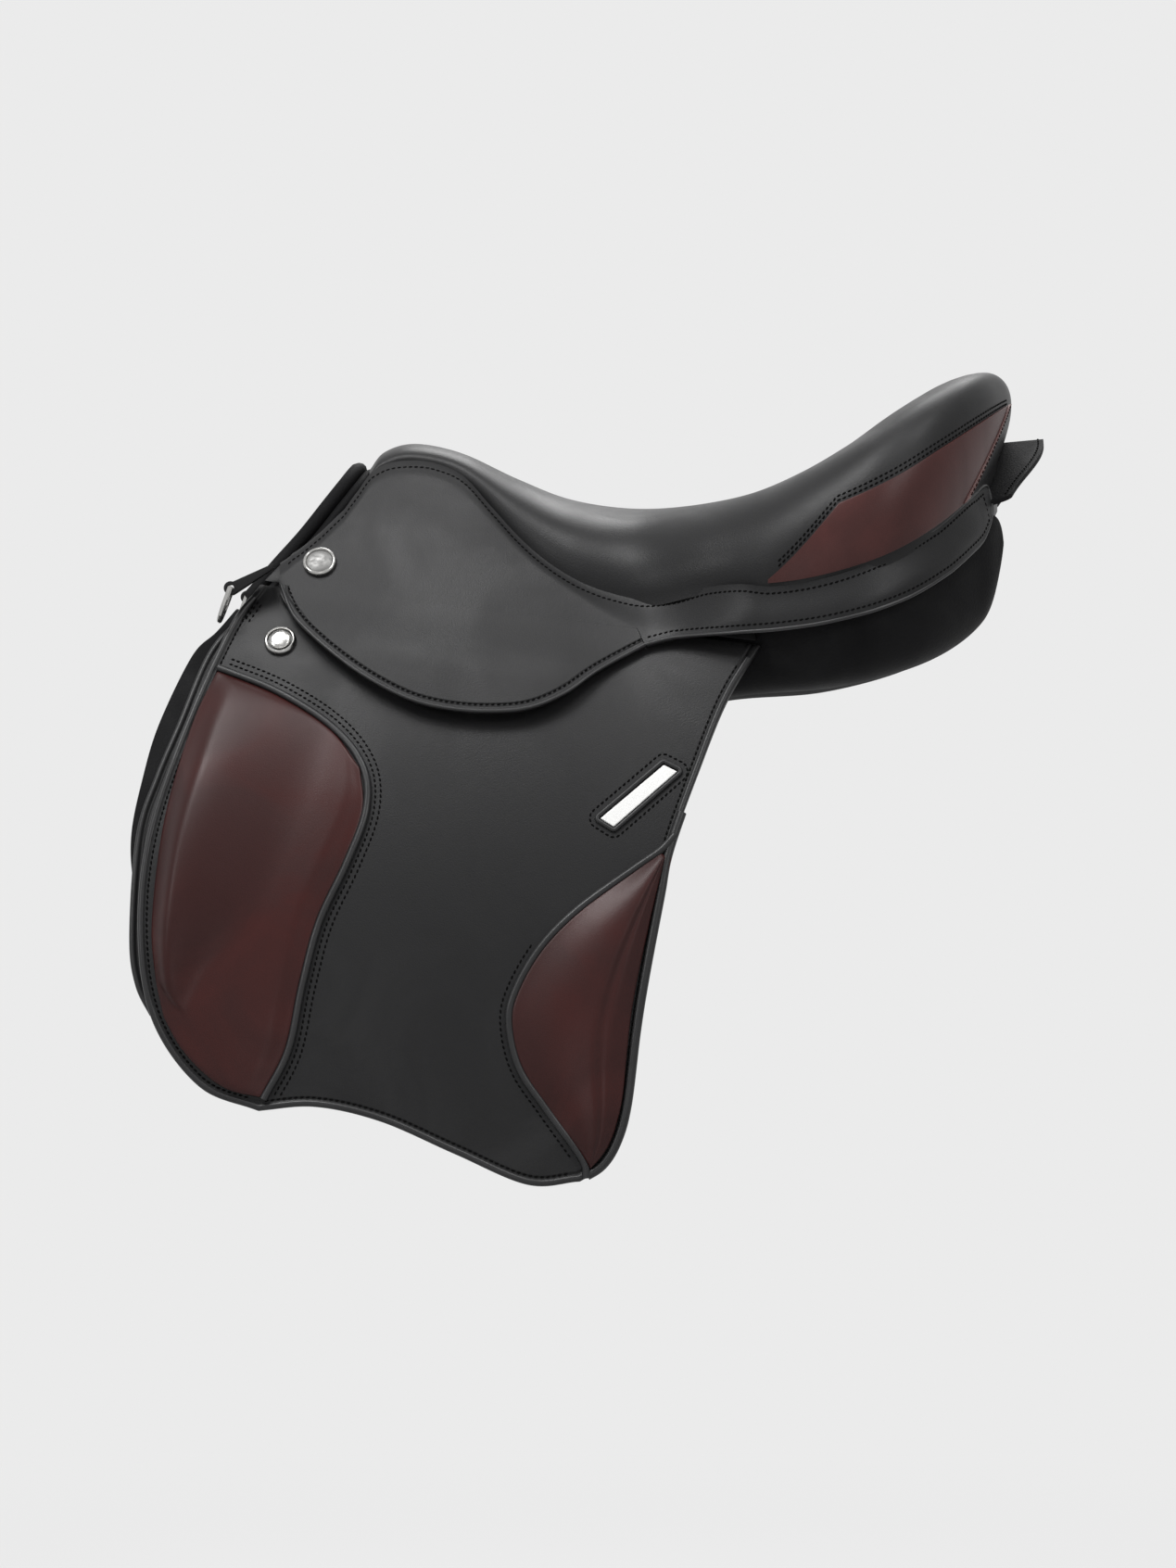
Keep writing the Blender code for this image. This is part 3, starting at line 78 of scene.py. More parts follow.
# Side view outlines, as (x, z).
FLAP_FRONT = [(-0.2315, 0.0745), (-0.248, 0.052), (-0.274, -0.009), (-0.295, -0.076), (-0.2995, -0.136),
              (-0.290, -0.187), (-0.262, -0.225), (-0.227, -0.239)]
FLAP_BOTTOM = [(-0.227, -0.239), (-0.193, -0.2365), (-0.154, -0.245), (-0.110, -0.264), (-0.067, -0.282),
               (-0.036, -0.280)]
FLAP_REAR = [(0.072, 0.0378), (0.052, 0.005), (0.035, -0.037), (0.018, -0.084), (0.0122, -0.1125),
             (0.0030, -0.1603), (-0.0022, -0.1927), (-0.0075, -0.2350), (-0.0135, -0.2570),
             (-0.0225, -0.2715), (-0.036, -0.280)]
SKIRT_TOP = [(-0.2195, 0.0895), (-0.212, 0.0955), (-0.195, 0.109), (-0.181, 0.123), (-0.172, 0.136),
             (-0.165, 0.1465), (-0.154, 0.1525), (-0.139, 0.154), (-0.125, 0.152), (-0.108, 0.144),
             (-0.091, 0.125), (-0.073, 0.105), (-0.056, 0.090), (-0.039, 0.079), (-0.023, 0.072),
             (0.000, 0.0665), (0.022, 0.068), (0.040, 0.073), (0.060, 0.0745), (0.080, 0.073),
             (0.115, 0.079), (0.150, 0.092), (0.180, 0.110), (0.205, 0.132), (0.2195, 0.150),
             (0.2245, 0.158)]
SKIRT_LOWER = [(-0.219, 0.0765), (-0.213, 0.061), (-0.203, 0.049), (-0.186, 0.034), (-0.165, 0.019),
               (-0.140, 0.006), (-0.117, 0.0), (-0.092, -0.002), (-0.067, 0.0), (-0.045, 0.009),
               (-0.025, 0.023), (-0.002, 0.037)]
STRAP_LOWER = [(-0.002, 0.037), (0.020, 0.0425), (0.055, 0.045), (0.083, 0.047), (0.111, 0.051),
               (0.138, 0.058), (0.162, 0.068), (0.185, 0.083), (0.205, 0.102), (0.2195, 0.122),
               (0.2245, 0.138)]
KNEE_FRONT = [(-0.256, 0.023), (-0.270, -0.009), (-0.285, -0.065), (-0.2915, -0.125), (-0.2893, -0.158),
              (-0.2838, -0.184)]
KNEE_TOP = [(-0.256, 0.023), (-0.219, 0.008), (-0.186, -0.013), (-0.168, -0.036)]
KNEE_REAR = [(-0.168, -0.036), (-0.166, -0.061), (-0.177, -0.092), (-0.193, -0.127), (-0.203, -0.165),
             (-0.211, -0.203), (-0.2255, -0.2315)]
KNEE_BOTTOM = [(-0.2838, -0.184), (-0.2742, -0.2013), (-0.2610, -0.2160), (-0.2450, -0.2270),
               (-0.2255, -0.2315)]
THIGH_FRONT = [(0.0125, -0.0865), (-0.0030, -0.0972), (-0.0370, -0.1218), (-0.0595, -0.1450),
               (-0.0740, -0.1712), (-0.0765, -0.1895), (-0.0705, -0.2135), (-0.0555, -0.2360),
               (-0.0335, -0.2665)]
THIGH_REAR = [(0.0147, -0.0885), (0.0083, -0.1147), (0.0027, -0.1395), (-0.0018, -0.1605),
              (-0.0060, -0.1845), (-0.0085, -0.2080), (-0.0112, -0.2330), (-0.0165, -0.2530),
              (-0.0225, -0.2645), (-0.0300, -0.2730)]
SWEAT_FRONT = [(-0.243, 0.058), (-0.263, 0.034), (-0.280, -0.009), (-0.293, -0.042), (-0.303, -0.076),
               (-0.306, -0.137), (-0.302, -0.166), (-0.292, -0.186)]
SWEAT_BOTTOM = [(-0.292, -0.186), (-0.255, -0.216), (-0.200, -0.224), (-0.130, -0.236), (-0.050, -0.262)]
SWEAT_REAR = [(0.036, 0.010), (0.024, -0.020), (0.012, -0.080), (-0.002, -0.160), (-0.050, -0.262)]
SWEAT_TOP = [(-0.243, 0.058), (-0.228, 0.034), (-0.180, 0.022), (-0.060, 0.014), (0.036, 0.010)]
WING_FRONT = [(-0.2465, 0.062), (-0.2590, 0.047), (-0.273, 0.033), (-0.292, -0.009), (-0.301, -0.042),
              (-0.307, -0.076), (-0.305, -0.106), (-0.296, -0.150), (-0.272, -0.186)]
WING_REAR = [(-0.234, 0.058), (-0.237, 0.030), (-0.238, -0.020), (-0.222, -0.070), (-0.206, -0.120),
             (-0.212, -0.190)]

# Seat stations from the pommel to the middle of the cantle: the seam (x, half width, z), the middle line
# (x, z), the crest's height, and the roll's width as a part of the way in, and its bulge. The last station
# lies past the middle and mirrors the one before it.
SEAT_STATIONS = [
    (-0.166, 0.0465, 0.143, -0.168, 0.149, 0.149, 0.85, 0.0),
    (-0.158, 0.0422, 0.150, -0.157, 0.161, 0.161, 0.85, 0.0),
    (-0.139, 0.0410, 0.154, -0.138, 0.166, 0.166, 0.85, 0.0005),
    (-0.108, 0.0497, 0.144, -0.110, 0.160, 0.160, 0.85, 0.001),
    (-0.073, 0.0776, 0.105, -0.076, 0.144, 0.144, 0.85, 0.003),
    (-0.039, 0.0954, 0.079, -0.043, 0.131, 0.131, 0.84, 0.004),
    (0.000, 0.1077, 0.0665, -0.006, 0.1245, 0.1250, 0.78, 0.005),
    (0.040, 0.1307, 0.073, 0.026, 0.1235, 0.1255, 0.56, 0.006),
    (0.080, 0.1505, 0.073, 0.050, 0.1245, 0.1315, 0.36, 0.006),
    (0.115, 0.1530, 0.079, 0.068, 0.1260, 0.1450, 0.24, 0.007),
    (0.150, 0.1473, 0.091, 0.081, 0.1280, 0.1640, 0.17, 0.008),
    (0.180, 0.1250, 0.109, 0.090, 0.1300, 0.1850, 0.12, 0.009),
    (0.205, 0.0883, 0.131, 0.097, 0.1315, 0.2010, 0.085, 0.009),
    (0.2190, 0.0463, 0.149, 0.101, 0.1325, 0.2080, 0.065, 0.0095),
    (0.2240, 0.0, 0.157, 0.103, 0.1330, 0.2095, 0.055, 0.010),
    (0.2190, -0.0463, 0.149, 0.101, 0.1325, 0.2080, 0.065, 0.0095),
]
# Panel stations from front to rear: x, the inner edge (y, z), the outer edge (y, z) and the thickness.
PANEL_STATIONS = [
    (-0.172, 0.036, 0.066, 0.110, -0.030, 0.024),
    (-0.120, 0.034, 0.056, 0.122, -0.038, 0.026),
    (-0.060, 0.036, 0.046, 0.120, -0.024, 0.030),
    (0.000, 0.038, 0.040, 0.114, -0.002, 0.036),
    (0.060, 0.040, 0.046, 0.128, 0.030, 0.058),
    (0.120, 0.042, 0.054, 0.146, 0.040, 0.066),
    (0.175, 0.043, 0.070, 0.122, 0.058, 0.070),
    (0.210, 0.045, 0.088, 0.084, 0.082, 0.066),
    (0.2240, 0.046, 0.104, 0.060, 0.102, 0.044),
]
PANEL_CROWN = 0.30
PANEL_END = 12
PANEL_RIM = 0.0015
# The head roll's right half, from the middle of the pommel down.
HEAD_ROLL = [(-0.1737, 0.0, 0.1500), (-0.1755, 0.0180, 0.1480), (-0.1810, 0.0320, 0.1400),
             (-0.1910, 0.0430, 0.1265), (-0.2050, 0.0520, 0.1080), (-0.2205, 0.0600, 0.0900),
             (-0.2300, 0.0655, 0.0785), (-0.2385, 0.0700, 0.0685)]
NAIL = (-0.195, 0.0895)
STUD = (-0.218, 0.041)
HEAD_GAP = 0.0004
STRAIGHT_SHARE = 0.72
STRAP_END_TURN = math.radians(63.0)
STRAP_TIP_LENGTH = 0.05
STRAP_TIP_HEIGHT = 0.72
STRAP_TIP_LEAST = 0.12
PAD_BASE = 0.0004
PAD_EDGE = 0.0022
KNEE_BLOCK = 0.0125
KNEE_CUSHION = 0.0035
KNEE_RIDGE = 0.135
KNEE_FADE = (0.70, 0.34)
KNEE_FADE_ROWS = (0.50, 0.90)
KNEE_BLOCK_END = 0.90
CUSHION_EDGE = 0.14
THIGH_CROWN = 0.008
THIGH_RIDGE = 0.64
THIGH_CREASE = 0.26
THIGH_CREASE_AT = 0.77
THIGH_CREASE_WIDTH = 0.035
RISE_POWER = 1.2

# Turned heads: (radius, height) round each section.
NAIL_RIM = [(0.0078, 0.0), (0.0103, 0.0), (0.0103, 0.0012), (0.0100, 0.0021), (0.0094, 0.0028),
            (0.0088, 0.0030), (0.0083, 0.0027), (0.0079, 0.0018), (0.0078, 0.0)]
NAIL_FACE = [(0.0, 0.0), (0.0079, 0.0), (0.0080, 0.0014), (0.0078, 0.0020), (0.0070, 0.0024),
             (0.0040, 0.0029), (0.0, 0.0031)]
STUD_RIM = [(0.0072, 0.0), (0.0098, 0.0), (0.0098, 0.0010), (0.0094, 0.0021), (0.0087, 0.0028),
            (0.0080, 0.0026), (0.0075, 0.0018), (0.0072, 0.0)]
STUD_GROOVE = [(0.0, 0.0), (0.0074, 0.0), (0.0074, 0.0013), (0.0, 0.0013)]
STUD_FACE = [(0.0, 0.0010), (0.0062, 0.0010), (0.0066, 0.0018), (0.0064, 0.0028), (0.0058, 0.0033),
             (0.0040, 0.0037), (0.0, 0.0039)]

# Seat leather, and the maroon inserts in the cantle's sides by seat station and degrees up the roll.
SEAT_THICKNESS = 0.0023
TUCK_SHARE = 0.02
TUCK_DEPTH = 0.0045
INSERT_START = 7.9
INSERT_END = 11.6
INSERT_LEAN = 1.5
INSERT_TOP_ANGLE = 37.0
INSERT_STRIP = 0.13
INSERT_SEAM_SHARE = 0.012
INSERT_LIFT = 0.0014
INSERT_THICKNESS = 0.0028
INSERT_ROWS = (2.6, 5.6)
STRIP_LIFT = 0.0023
STRIP_THICKNESS = 0.0012

# Skirt and strap: depth of the outer face, flare at the free edge, round edges and stitched rows.
STRAP_ROUND_X = (-0.05, 0.02)
STRAP_SINK_WIDTH = 0.024
STRAP_SEAM_DEPTH = 0.0008
SKIRT_DEPTH = 0.006
SKIRT_SEAM_DEPTH = 0.0022
SKIRT_SINK_WIDTH = 0.009
SKIRT_FLARE = 0.0055
SKIRT_GAP = 0.0004
EDGE_RADIUS = 0.0012
EDGE_SINK = 0.0006
SKIRT_CORNER = [(-0.218, 0.069), (-0.2115, 0.059)]
SKIRT_THICKNESS = 0.0034
SKIRT_ROW_INSET = 0.0042
EDGE_OUTSET = 0.0002
STRAP_EDGE_END = 0.79
STRAP_ROW_TURN = 0.982

# Flap, pads and inlay. Outsets and insets run from an outline, depths from the flap's outer face.
FLAP_MARK = (((-0.2316, 0.0660), (-0.2400, 0.0541)), ((-0.2298, 0.0642), (-0.2382, 0.0523)))
THIGH_PIPING = [(0.0215, -0.0770)] + THIGH_FRONT + [(-0.0310, -0.2785)]
INLAY = ((0.014, -0.034), (0.022, -0.038), (-0.016, -0.071), (-0.024, -0.066))
FLAP_TOP_GAP = 0.0012
FLAP_THICKNESS = 0.0038
FLAP_EDGE_OUTSET = 0.0016
FLAP_EDGE_DEPTH = -0.0014
FLAP_EDGE_RADIUS = 0.0022
FLAP_ROW_INSET = 0.0050
CORD_DEPTH = 0.0012
KNEE_BEAD_OUTSET = 0.0020
KNEE_BEAD_RADIUS = 0.0023
KNEE_ROWS = ((0.0066, 0.985), (0.0098, 0.98))
THIGH_PIPING_OUTSET = 0.0014
THIGH_PIPING_RADIUS = 0.0024
THIGH_ROW_OUTSET = 0.0066
THIGH_REAR_ROW = 0.0013
THIGH_REAR_ROW_DEPTH = 0.0006
THIGH_LIP_OUTSET = 0.0030
THIGH_LIP_DEPTH = 0.0008
THIGH_LIP_RADIUS = 0.0009
THIGH_BINDING_INSET = 0.0006
THIGH_BINDING_DEPTH = -0.0004
THIGH_BINDING_RADIUS = 0.0029
INLAY_DEPTH = 0.0014
INLAY_THICKNESS = 0.0012
INLAY_BORDER_OUTSET = 0.0019
INLAY_BORDER_DEPTH = 0.0006
INLAY_BORDER_RADIUS = 0.0014
INLAY_ROW_OUTSET = 0.0062

# Cloth pass of the padded pieces.
PAD_PRESSURE = 4.0
CLOTH_EASING = 24
CLOTH_FRAMES = 20
PAD_CAP = 0.0025
PANEL_CAP = 0.005

# Pieces under the seat and the flaps.
WING_DEPTH = -0.0200
WING_BACK_DEPTH = -0.0265
WING_SWELL = 0.020
SWEAT_DEPTH = -0.0158
SWEAT_THICKNESS = 0.0031
SWEAT_EDGE_OUTSET = 0.0018
SWEAT_EDGE_DEPTH = -0.0172
SWEAT_EDGE_RADIUS = 0.0022
HEAD_ROLL_RADIUS = 0.0047
INNER_ROLL_RADIUS = 0.0038
INNER_ROLL_SHIFT = (0.0078, -0.0030)
INNER_ROLL_SPREAD = 1.04
STRAP_TRIES = 120
STRAP_ROWS = 60
STRAP_TIP = 0.008
STRAP_INSET = 0.0028
HOLE_COUNT = 8
HOLE_FIRST = 0.022
HOLE_PITCH = 0.0245
# Profile of the dark disc that stands for each hole: its darkness is painted shade.
HOLE_SHADE_DISC = [(0.0029, 0.0), (0.0027, 0.0003), (0.0022, 0.0004), (0.0018, 0.0002), (0.0, 0.0002)]

# Back of the cantle, and the tongue behind it, by degrees round the rim.
CANTLE_BACK_ANGLE = 24.0
CANTLE_BACK_DEPTH = -0.0010
CANTLE_BACK_HEIGHT = 0.036
CANTLE_BACK_OVERLAP = 0.004
CANTLE_BACK_THICKNESS = 0.0018
TONGUE_HIDDEN_ANGLE = 56.0
TONGUE_END_ANGLE = 65.5
TONGUE_DEPTH = (-0.0050, -0.0040)
TONGUE_Z = (0.1650, 0.1330)
TONGUE_REACH = (0.0330, 0.0190)
TONGUE_RISE = (0.0030, -0.0020)
TONGUE_THICKNESS = 0.003
TONGUE_ROW_END = 0.74
TONGUE_ROW_INSET = 0.0034

# Stitches, the hollow that their row draws into the leather, the painted shade in that hollow, and the
# painted highlight along worked edges.
SEAM_WIDTH = 0.0017
SEAM_HOLLOW = 0.0006
SEAM_SHADE = 0.65
SEAM_SHADE_TONE = 0.35
# Painted highlight: how much the colour lightens along a piece's worked edges.
EDGE_HIGHLIGHT_SHARE = 0.35
STITCH_PITCH = 0.0035
STITCH_LENGTH = 0.0026
STITCH_WIDTH = 0.0013
STITCH_HEIGHT = 0.0008
STITCH_SLANT = math.radians(9.0)

# Light: (name, place, size, power) of each lamp.
STUDIO_GREY = (0.80, 0.80, 0.80, 1.0)
FLOOR_SIZE = 60.0
FLOOR_FADE = (0.5, 1.5)
LAMP_TARGET = (0.0, 0.0, -0.03)
WORLD_STRENGTH = 0.03
SHADOW_SHARE = 0.72
LAMPS = (("key", (-1.4, -1.25, 2.3), 1.2, 39.0), ("top", (-0.7, -1.0, 2.8), 1.2, 42.0),
         ("fill", (0.9, -1.1, 2.6), 1.2, 29.0), ("right", (1.6, -1.9, 1.3), 0.9, 15.0),
         ("low", (-0.4, -3.4, -0.35), 1.2, 6.0), ("left", (-2.3, -1.7, 1.1), 0.8, 15.0),
         ("back", (0.3, 1.6, 2.0), 1.4, 26.0))


def smoothstep(low, high, value):
    """0 below low, 1 above high, and a smooth rise between them."""
    part = min(max((value - low) / (high - low), 0.0), 1.0)
    return part * part * (3.0 - 2.0 * part)


def mix(a, b, part):
    return a + (b - a) * part


def spline(points, part):
    """The point at a part of the way, 0 to 1, along a smooth curve through equally weighted points."""
    place = min(max(part, 0.0), 1.0) * (len(points) - 1)
    index = min(int(place), len(points) - 2)
    t = place - index
    middle, after = points[index], points[index + 1]
    before = points[index - 1] if index else [2 * a - b for a, b in zip(middle, after)]
    beyond = points[index + 2] if index + 2 < len(points) else [2 * b - a for a, b in zip(middle, after)]
    result = []
    for p0, p1, p2, p3 in zip(before, middle, after, beyond):
        slope_in = (p2 - p0) / 2
        slope_out = (p3 - p1) / 2
        cubic = (2 * t**3 - 3 * t**2 + 1) * p1 + (t**3 - 2 * t**2 + t) * slope_in
        cubic += (-2 * t**3 + 3 * t**2) * p2 + (t**3 - t**2) * slope_out
        result.append(cubic)
    return result


def height_at(points, x):
    """The z of a curve given as (x, z) points with x rising."""
    index = min(max(bisect.bisect([p[0] for p in points], x) - 1, 0), len(points) - 2)
    part = (x - points[index][0]) / (points[index + 1][0] - points[index][0])
    return spline(points, (index + min(max(part, 0.0), 1.0)) / (len(points) - 1))[1]


def lengths_along(points):
    """The length of a line up to each of its points."""
    lengths = [0.0]
    for first, second in zip(points, points[1:]):
        lengths.append(lengths[-1] + (second - first).length)
    return lengths


def evenly(points):
    """A function of 0 to 1 that runs along a smooth curve through points at a steady speed."""
    steps = 20 * (len(points) - 1)
    samples = [Vector(spline(points, i / steps)) for i in range(steps + 1)]
    lengths = lengths_along(samples)

    def at(part):
        wanted = min(max(part, 0.0), 1.0) * lengths[-1]
        index = min(max(bisect.bisect(lengths, wanted) - 1, 0), steps - 1)
        share = (wanted - lengths[index]) / (lengths[index + 1] - lengths[index])
        return samples[index].lerp(samples[index + 1], share)

    at.length = lengths[-1]
    return at


def coons(front, rear, top, bottom):
    """A function of (across, down) that fills the four edges of an outline smoothly."""
    front, rear, top, bottom = evenly(front), evenly(rear), evenly(top), evenly(bottom)

    def at(across, down):
        ruled = top(across) * (1 - down) + bottom(across) * down
        ruled += front(down) * (1 - across) + rear(down) * across
        corners = top(0) * (1 - across) * (1 - down) + top(1) * across * (1 - down)
        corners += bottom(0) * (1 - across) * down + bottom(1) * across * down
        return ruled - corners

    return at


def half_width(x, z):
    """Distance from the middle plane to the flap's outer face."""
    lean = 1.0 - REAR_LEAN_LOSS * smoothstep(*REAR_LEAN_X, x)
    drop = LEAN * LEAN_LENGTH * math.log1p(math.exp((z - LEAN_Z) / LEAN_LENGTH))
    return BARREL_HALF - BARREL_BOW * (x - BARREL_MIDDLE_X) ** 2 - lean * drop


def rim_half(x):
    if x < RIM_X:
        return RIM_HALF - RIM_TAPER * (RIM_X - x) ** 2
    return RIM_HALF * math.sqrt(max(1.0 - ((x - RIM_X) / RIM_DEPTH) ** 2, 0.0))


def skirt_point(x, z, depth, sign):
    """A point of the skirt or its strap: on the side in front, and round the rim behind."""
    if x <= RIM_X:
        y = mix(half_width(x, z), rim_half(x), smoothstep(*RIM_BLEND_X, x)) + depth
        return Vector((x, sign * y, z))
    turn = math.asin(min((x - RIM_X) / RIM_DEPTH, 1.0))
    x = RIM_X + (RIM_DEPTH + depth) * math.sin(turn)
    return Vector((x, sign * (RIM_HALF + depth) * math.cos(turn), z))


def fold_height(x):
    return FOLD_Z - FOLD_FALL * (x - FOLD_X)


def seat_point(station, across, lift=0.0):
    """A point of the seat's leather: across is 0 at the seam and 1 on the middle line."""
    x, y, z, mid_x, mid_z, crest_z, roll, bulge = spline(SEAT_STATIONS, station / (LAST_STATION + 1))
    inwards = Vector((mid_x - x, -y))
    length = inwards.length + lift
    inwards.normalize()
    start = Vector((x, y)) - inwards * lift
    roll_width = roll * length
    if across < ROLL_SHARE:
        angle = across / ROLL_SHARE * math.pi / 2
        way = roll_width * (1 - math.cos(angle)) - bulge * math.sin(2 * angle)
        height = mix(z, crest_z + lift, math.sin(angle))
    else:
        part = (across - ROLL_SHARE) / (1 - ROLL_SHARE)
        way = mix(roll_width, length, part)
        height = mix(crest_z, mid_z, (1 - math.cos(math.pi * part)) / 2) + lift
    place = start + inwards * way
    if across >= 1.0 or station >= LAST_STATION:
        place.y = 0.0
    return Vector((place.x, place.y, height))


def select_only(item):
    bpy.ops.object.select_all(action="DESELECT")
    item.select_set(True)
    bpy.context.view_layer.objects.active = item


def new_object(name, data):
    item = bpy.data.objects.new(name, data)
    bpy.context.scene.collection.objects.link(item)
    return item


def apply_modifier(item, kind, **settings):
    """Adds a modifier with these settings and applies it."""
    select_only(item)
    modifier = item.modifiers.new(kind.title(), kind)
    for name, value in settings.items():
        setattr(modifier, name, value)
    bpy.ops.object.modifier_apply(modifier=modifier.name)


def smooth(item, angle=38.0):
    select_only(item)
    bpy.ops.object.shade_smooth_by_angle(angle=math.radians(angle))


def dress(item, material, body, replaced=()):
    """Gives a finished piece its material and the body that carries it."""
    item.data.materials.clear()
    item.data.materials.append(material)
    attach(item, body)
    if replaced:
        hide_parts(*replaced)
    return item


def outwards(point):
    """Direction away from the saddle's middle at a point."""
    away = Vector((max(point.x - RIM_X, 0.0), point.y, 0.0))
    return away.normalized() if away.length > 0.001 else Vector((0.0, 0.0, 1.0))


def grid(name, columns, rows, place):
    """A sheet: a grid whose points place(u, v) puts where they belong, both from 0 to 1."""
    bpy.ops.object.select_all(action="DESELECT")
    bpy.ops.mesh.primitive_grid_add(x_subdivisions=columns, y_subdivisions=rows, size=1.0)
    item = bpy.context.object
    item.name = name
    item.data.name = name
    for point in item.data.vertices:
        point.co = place(point.co.x + 0.5, point.co.y + 0.5)
    return item


def face_out(item, reference):
    """Turns an open sheet so that its faces look along the reference direction at their places."""
    mesh = item.data
    total = sum(face.normal.dot(reference(face.center)) * face.area for face in mesh.polygons)
    if total < 0:
        select_only(item)
        bpy.ops.object.mode_set(mode="EDIT")
        bpy.ops.mesh.select_all(action="SELECT")
        bpy.ops.mesh.flip_normals()
        bpy.ops.object.mode_set(mode="OBJECT")


def edge_points(place, sides, count=160):
    """Points along the named sides of a sheet: front, rear, top and bottom."""
    points = []
    for i in range(count + 1):
        part = i / count
        if "front" in sides:
            points.append(place(0.0, part))
        if "rear" in sides:
            points.append(place(1.0, part))
        if "top" in sides:
            points.append(place(part, 0.0))
        if "bottom" in sides:
            points.append(place(part, 1.0))
    return points


def nearest_of(points):
    """A tree that finds the nearest of these points."""
    tree = KDTree(len(points))
    for index, point in enumerate(points):
        tree.insert(point, index)
    tree.balance()
    return tree


def mark_edge(item, tree):
    """Stores how far each point of a piece lies from its worked edges."""
    reach = item.data.attributes.new("edge", "FLOAT", "POINT")
    reach.data.foreach_set("value", [tree.find(point.co)[2] for point in item.data.vertices])


def leather_sheet(name, columns, rows, place, thickness, sides="front rear top bottom", rounding=0.0012):
    """Leather with its worked sides rounded. Its other sides stay square, to butt on a neighbour."""
    item = grid(name, columns, rows, place)
    face_out(item, outwards)
    apply_modifier(item, "SOLIDIFY", thickness=thickness, offset=-1.0)
    tree = nearest_of(edge_points(place, sides))
    mesh = item.data
    weights = mesh.attributes.new("bevel_weight_edge", "FLOAT", "EDGE")
    faces = {}
    for face in mesh.polygons:
        for key in face.edge_keys:
            faces.setdefault(key, []).append(face.normal)
    for edge in mesh.edges:
        pair = faces.get(edge.key, ())
        if len(pair) == 2 and pair[0].dot(pair[1]) < 0.5:
            middle = (mesh.vertices[edge.vertices[0]].co + mesh.vertices[edge.vertices[1]].co) / 2
            if tree.find(middle)[2] < thickness + 0.001:
                weights.data[edge.index].value = 1.0
    apply_modifier(item, "BEVEL", width=rounding, segments=3, limit_method="WEIGHT")
    mark_edge(item, tree)
    smooth(item, 50.0)
    return item


def middle_sheet(name, columns, rows, place, direction, thickness, merge=0.0001):
    """A sheet laid out on the right side, mirrored across the middle and thickened inwards."""
    item = grid(name, columns, rows, place)
    apply_modifier(item, "MIRROR", use_axis=(False, True, False), merge_threshold=merge)
    face_out(item, lambda point: Vector(direction))
    apply_modifier(item, "SOLIDIFY", thickness=thickness, offset=-1.0)
    return item


def both_halves(half):
    """A line across the middle, from its right half, which starts in the middle."""
    return [Vector((p.x, -p.y, p.z)) for p in reversed(half[1:])] + half


def tube(name, points, radius, closed=False):
    """A round cord or wire along points, as a mesh."""
    curve = bpy.data.curves.new(name, "CURVE")
    curve.dimensions = "3D"
    curve.bevel_depth = radius
    curve.bevel_resolution = 4
    curve.use_fill_caps = not closed
    line = curve.splines.new("POLY")
    line.points.add(len(points) - 1)
    for target, point in zip(line.points, points):
        target.co = (*point, 1.0)
    line.use_cyclic_u = closed
    item = new_object(name, curve)
    select_only(item)
    bpy.ops.object.convert(target="MESH")
    item = bpy.context.object
    close_seams(item)
    smooth(item, 60.0)
    return item


def close_seams(item, distance=0.00002):
    """Merges points that lie together and turns the faces outwards."""
    select_only(item)
    bpy.ops.object.mode_set(mode="EDIT")
    bpy.ops.mesh.select_all(action="SELECT")
    bpy.ops.mesh.remove_doubles(threshold=distance)
    bpy.ops.mesh.normals_make_consistent(inside=False)
    bpy.ops.object.mode_set(mode="OBJECT")


def turned(name, profile, centre, normal, count=80):
    """A turned piece: its profile of (radius, height) goes round an axis square to the leather."""
    across = normal.orthogonal().normalized()
    up = normal.cross(across)

    def place(u, v):
        radius, height = profile[round(v * (len(profile) - 1))]
        turn = math.tau * u
        return centre + (across * math.cos(turn) + up * math.sin(turn)) * radius + normal * height

    item = grid(name, count, len(profile) - 1, place)
    close_seams(item)
    smooth(item, 40.0)
    return item


def one_stitch():
    """The shape of one stitch, long in X and lying on Z = 0, as points and faces."""
    bpy.ops.object.select_all(action="DESELECT")
    bpy.ops.mesh.primitive_uv_sphere_add(segments=6, ring_count=4, radius=1.0)
    item = bpy.context.object
    points = [Vector((p.co.z * STITCH_LENGTH / 2, p.co.x * STITCH_WIDTH / 2, p.co.y * STITCH_HEIGHT / 2))
              for p in item.data.vertices]
    faces = [tuple(reversed(face.vertices)) for face in item.data.polygons]
    bpy.data.objects.remove(item, do_unlink=True)
    return points, faces


STITCH = one_stitch()


def stitching(name, runs, body, material, lift=0.0001):
    """Rows of stitches: each run is a list of (point, normal) along a seam."""
    shape, shape_faces = STITCH
    points, faces = [], []
    for run in runs:
        lengths = lengths_along([point for point, _ in run])
        count = int(lengths[-1] / STITCH_PITCH)
        for i in range(count):
            wanted = (i + 0.5) * lengths[-1] / count
            index = min(max(bisect.bisect(lengths, wanted) - 1, 0), len(run) - 2)
            share = (wanted - lengths[index]) / max(lengths[index + 1] - lengths[index], 1e-9)
            middle = run[index][0].lerp(run[index + 1][0], share)
            up = run[index][1].lerp(run[index + 1][1], share).normalized()
            along = run[index + 1][0] - run[index][0]
            along = (along - up * along.dot(up)).normalized()
            side = up.cross(along)
            along, side = (along * math.cos(STITCH_SLANT) + side * math.sin(STITCH_SLANT),
                           side * math.cos(STITCH_SLANT) - along * math.sin(STITCH_SLANT))
            first_index = len(points)
            middle = middle + up * lift
            points += [middle + along * p.x + side * p.y + up * p.z for p in shape]
            faces += [tuple(first_index + k for k in face) for face in shape_faces]
    mesh = bpy.data.meshes.new(name)
    mesh.from_pydata(points, [], faces)
    item = new_object(name, mesh)
    mesh.shade_smooth()
    return dress(item, material, body)


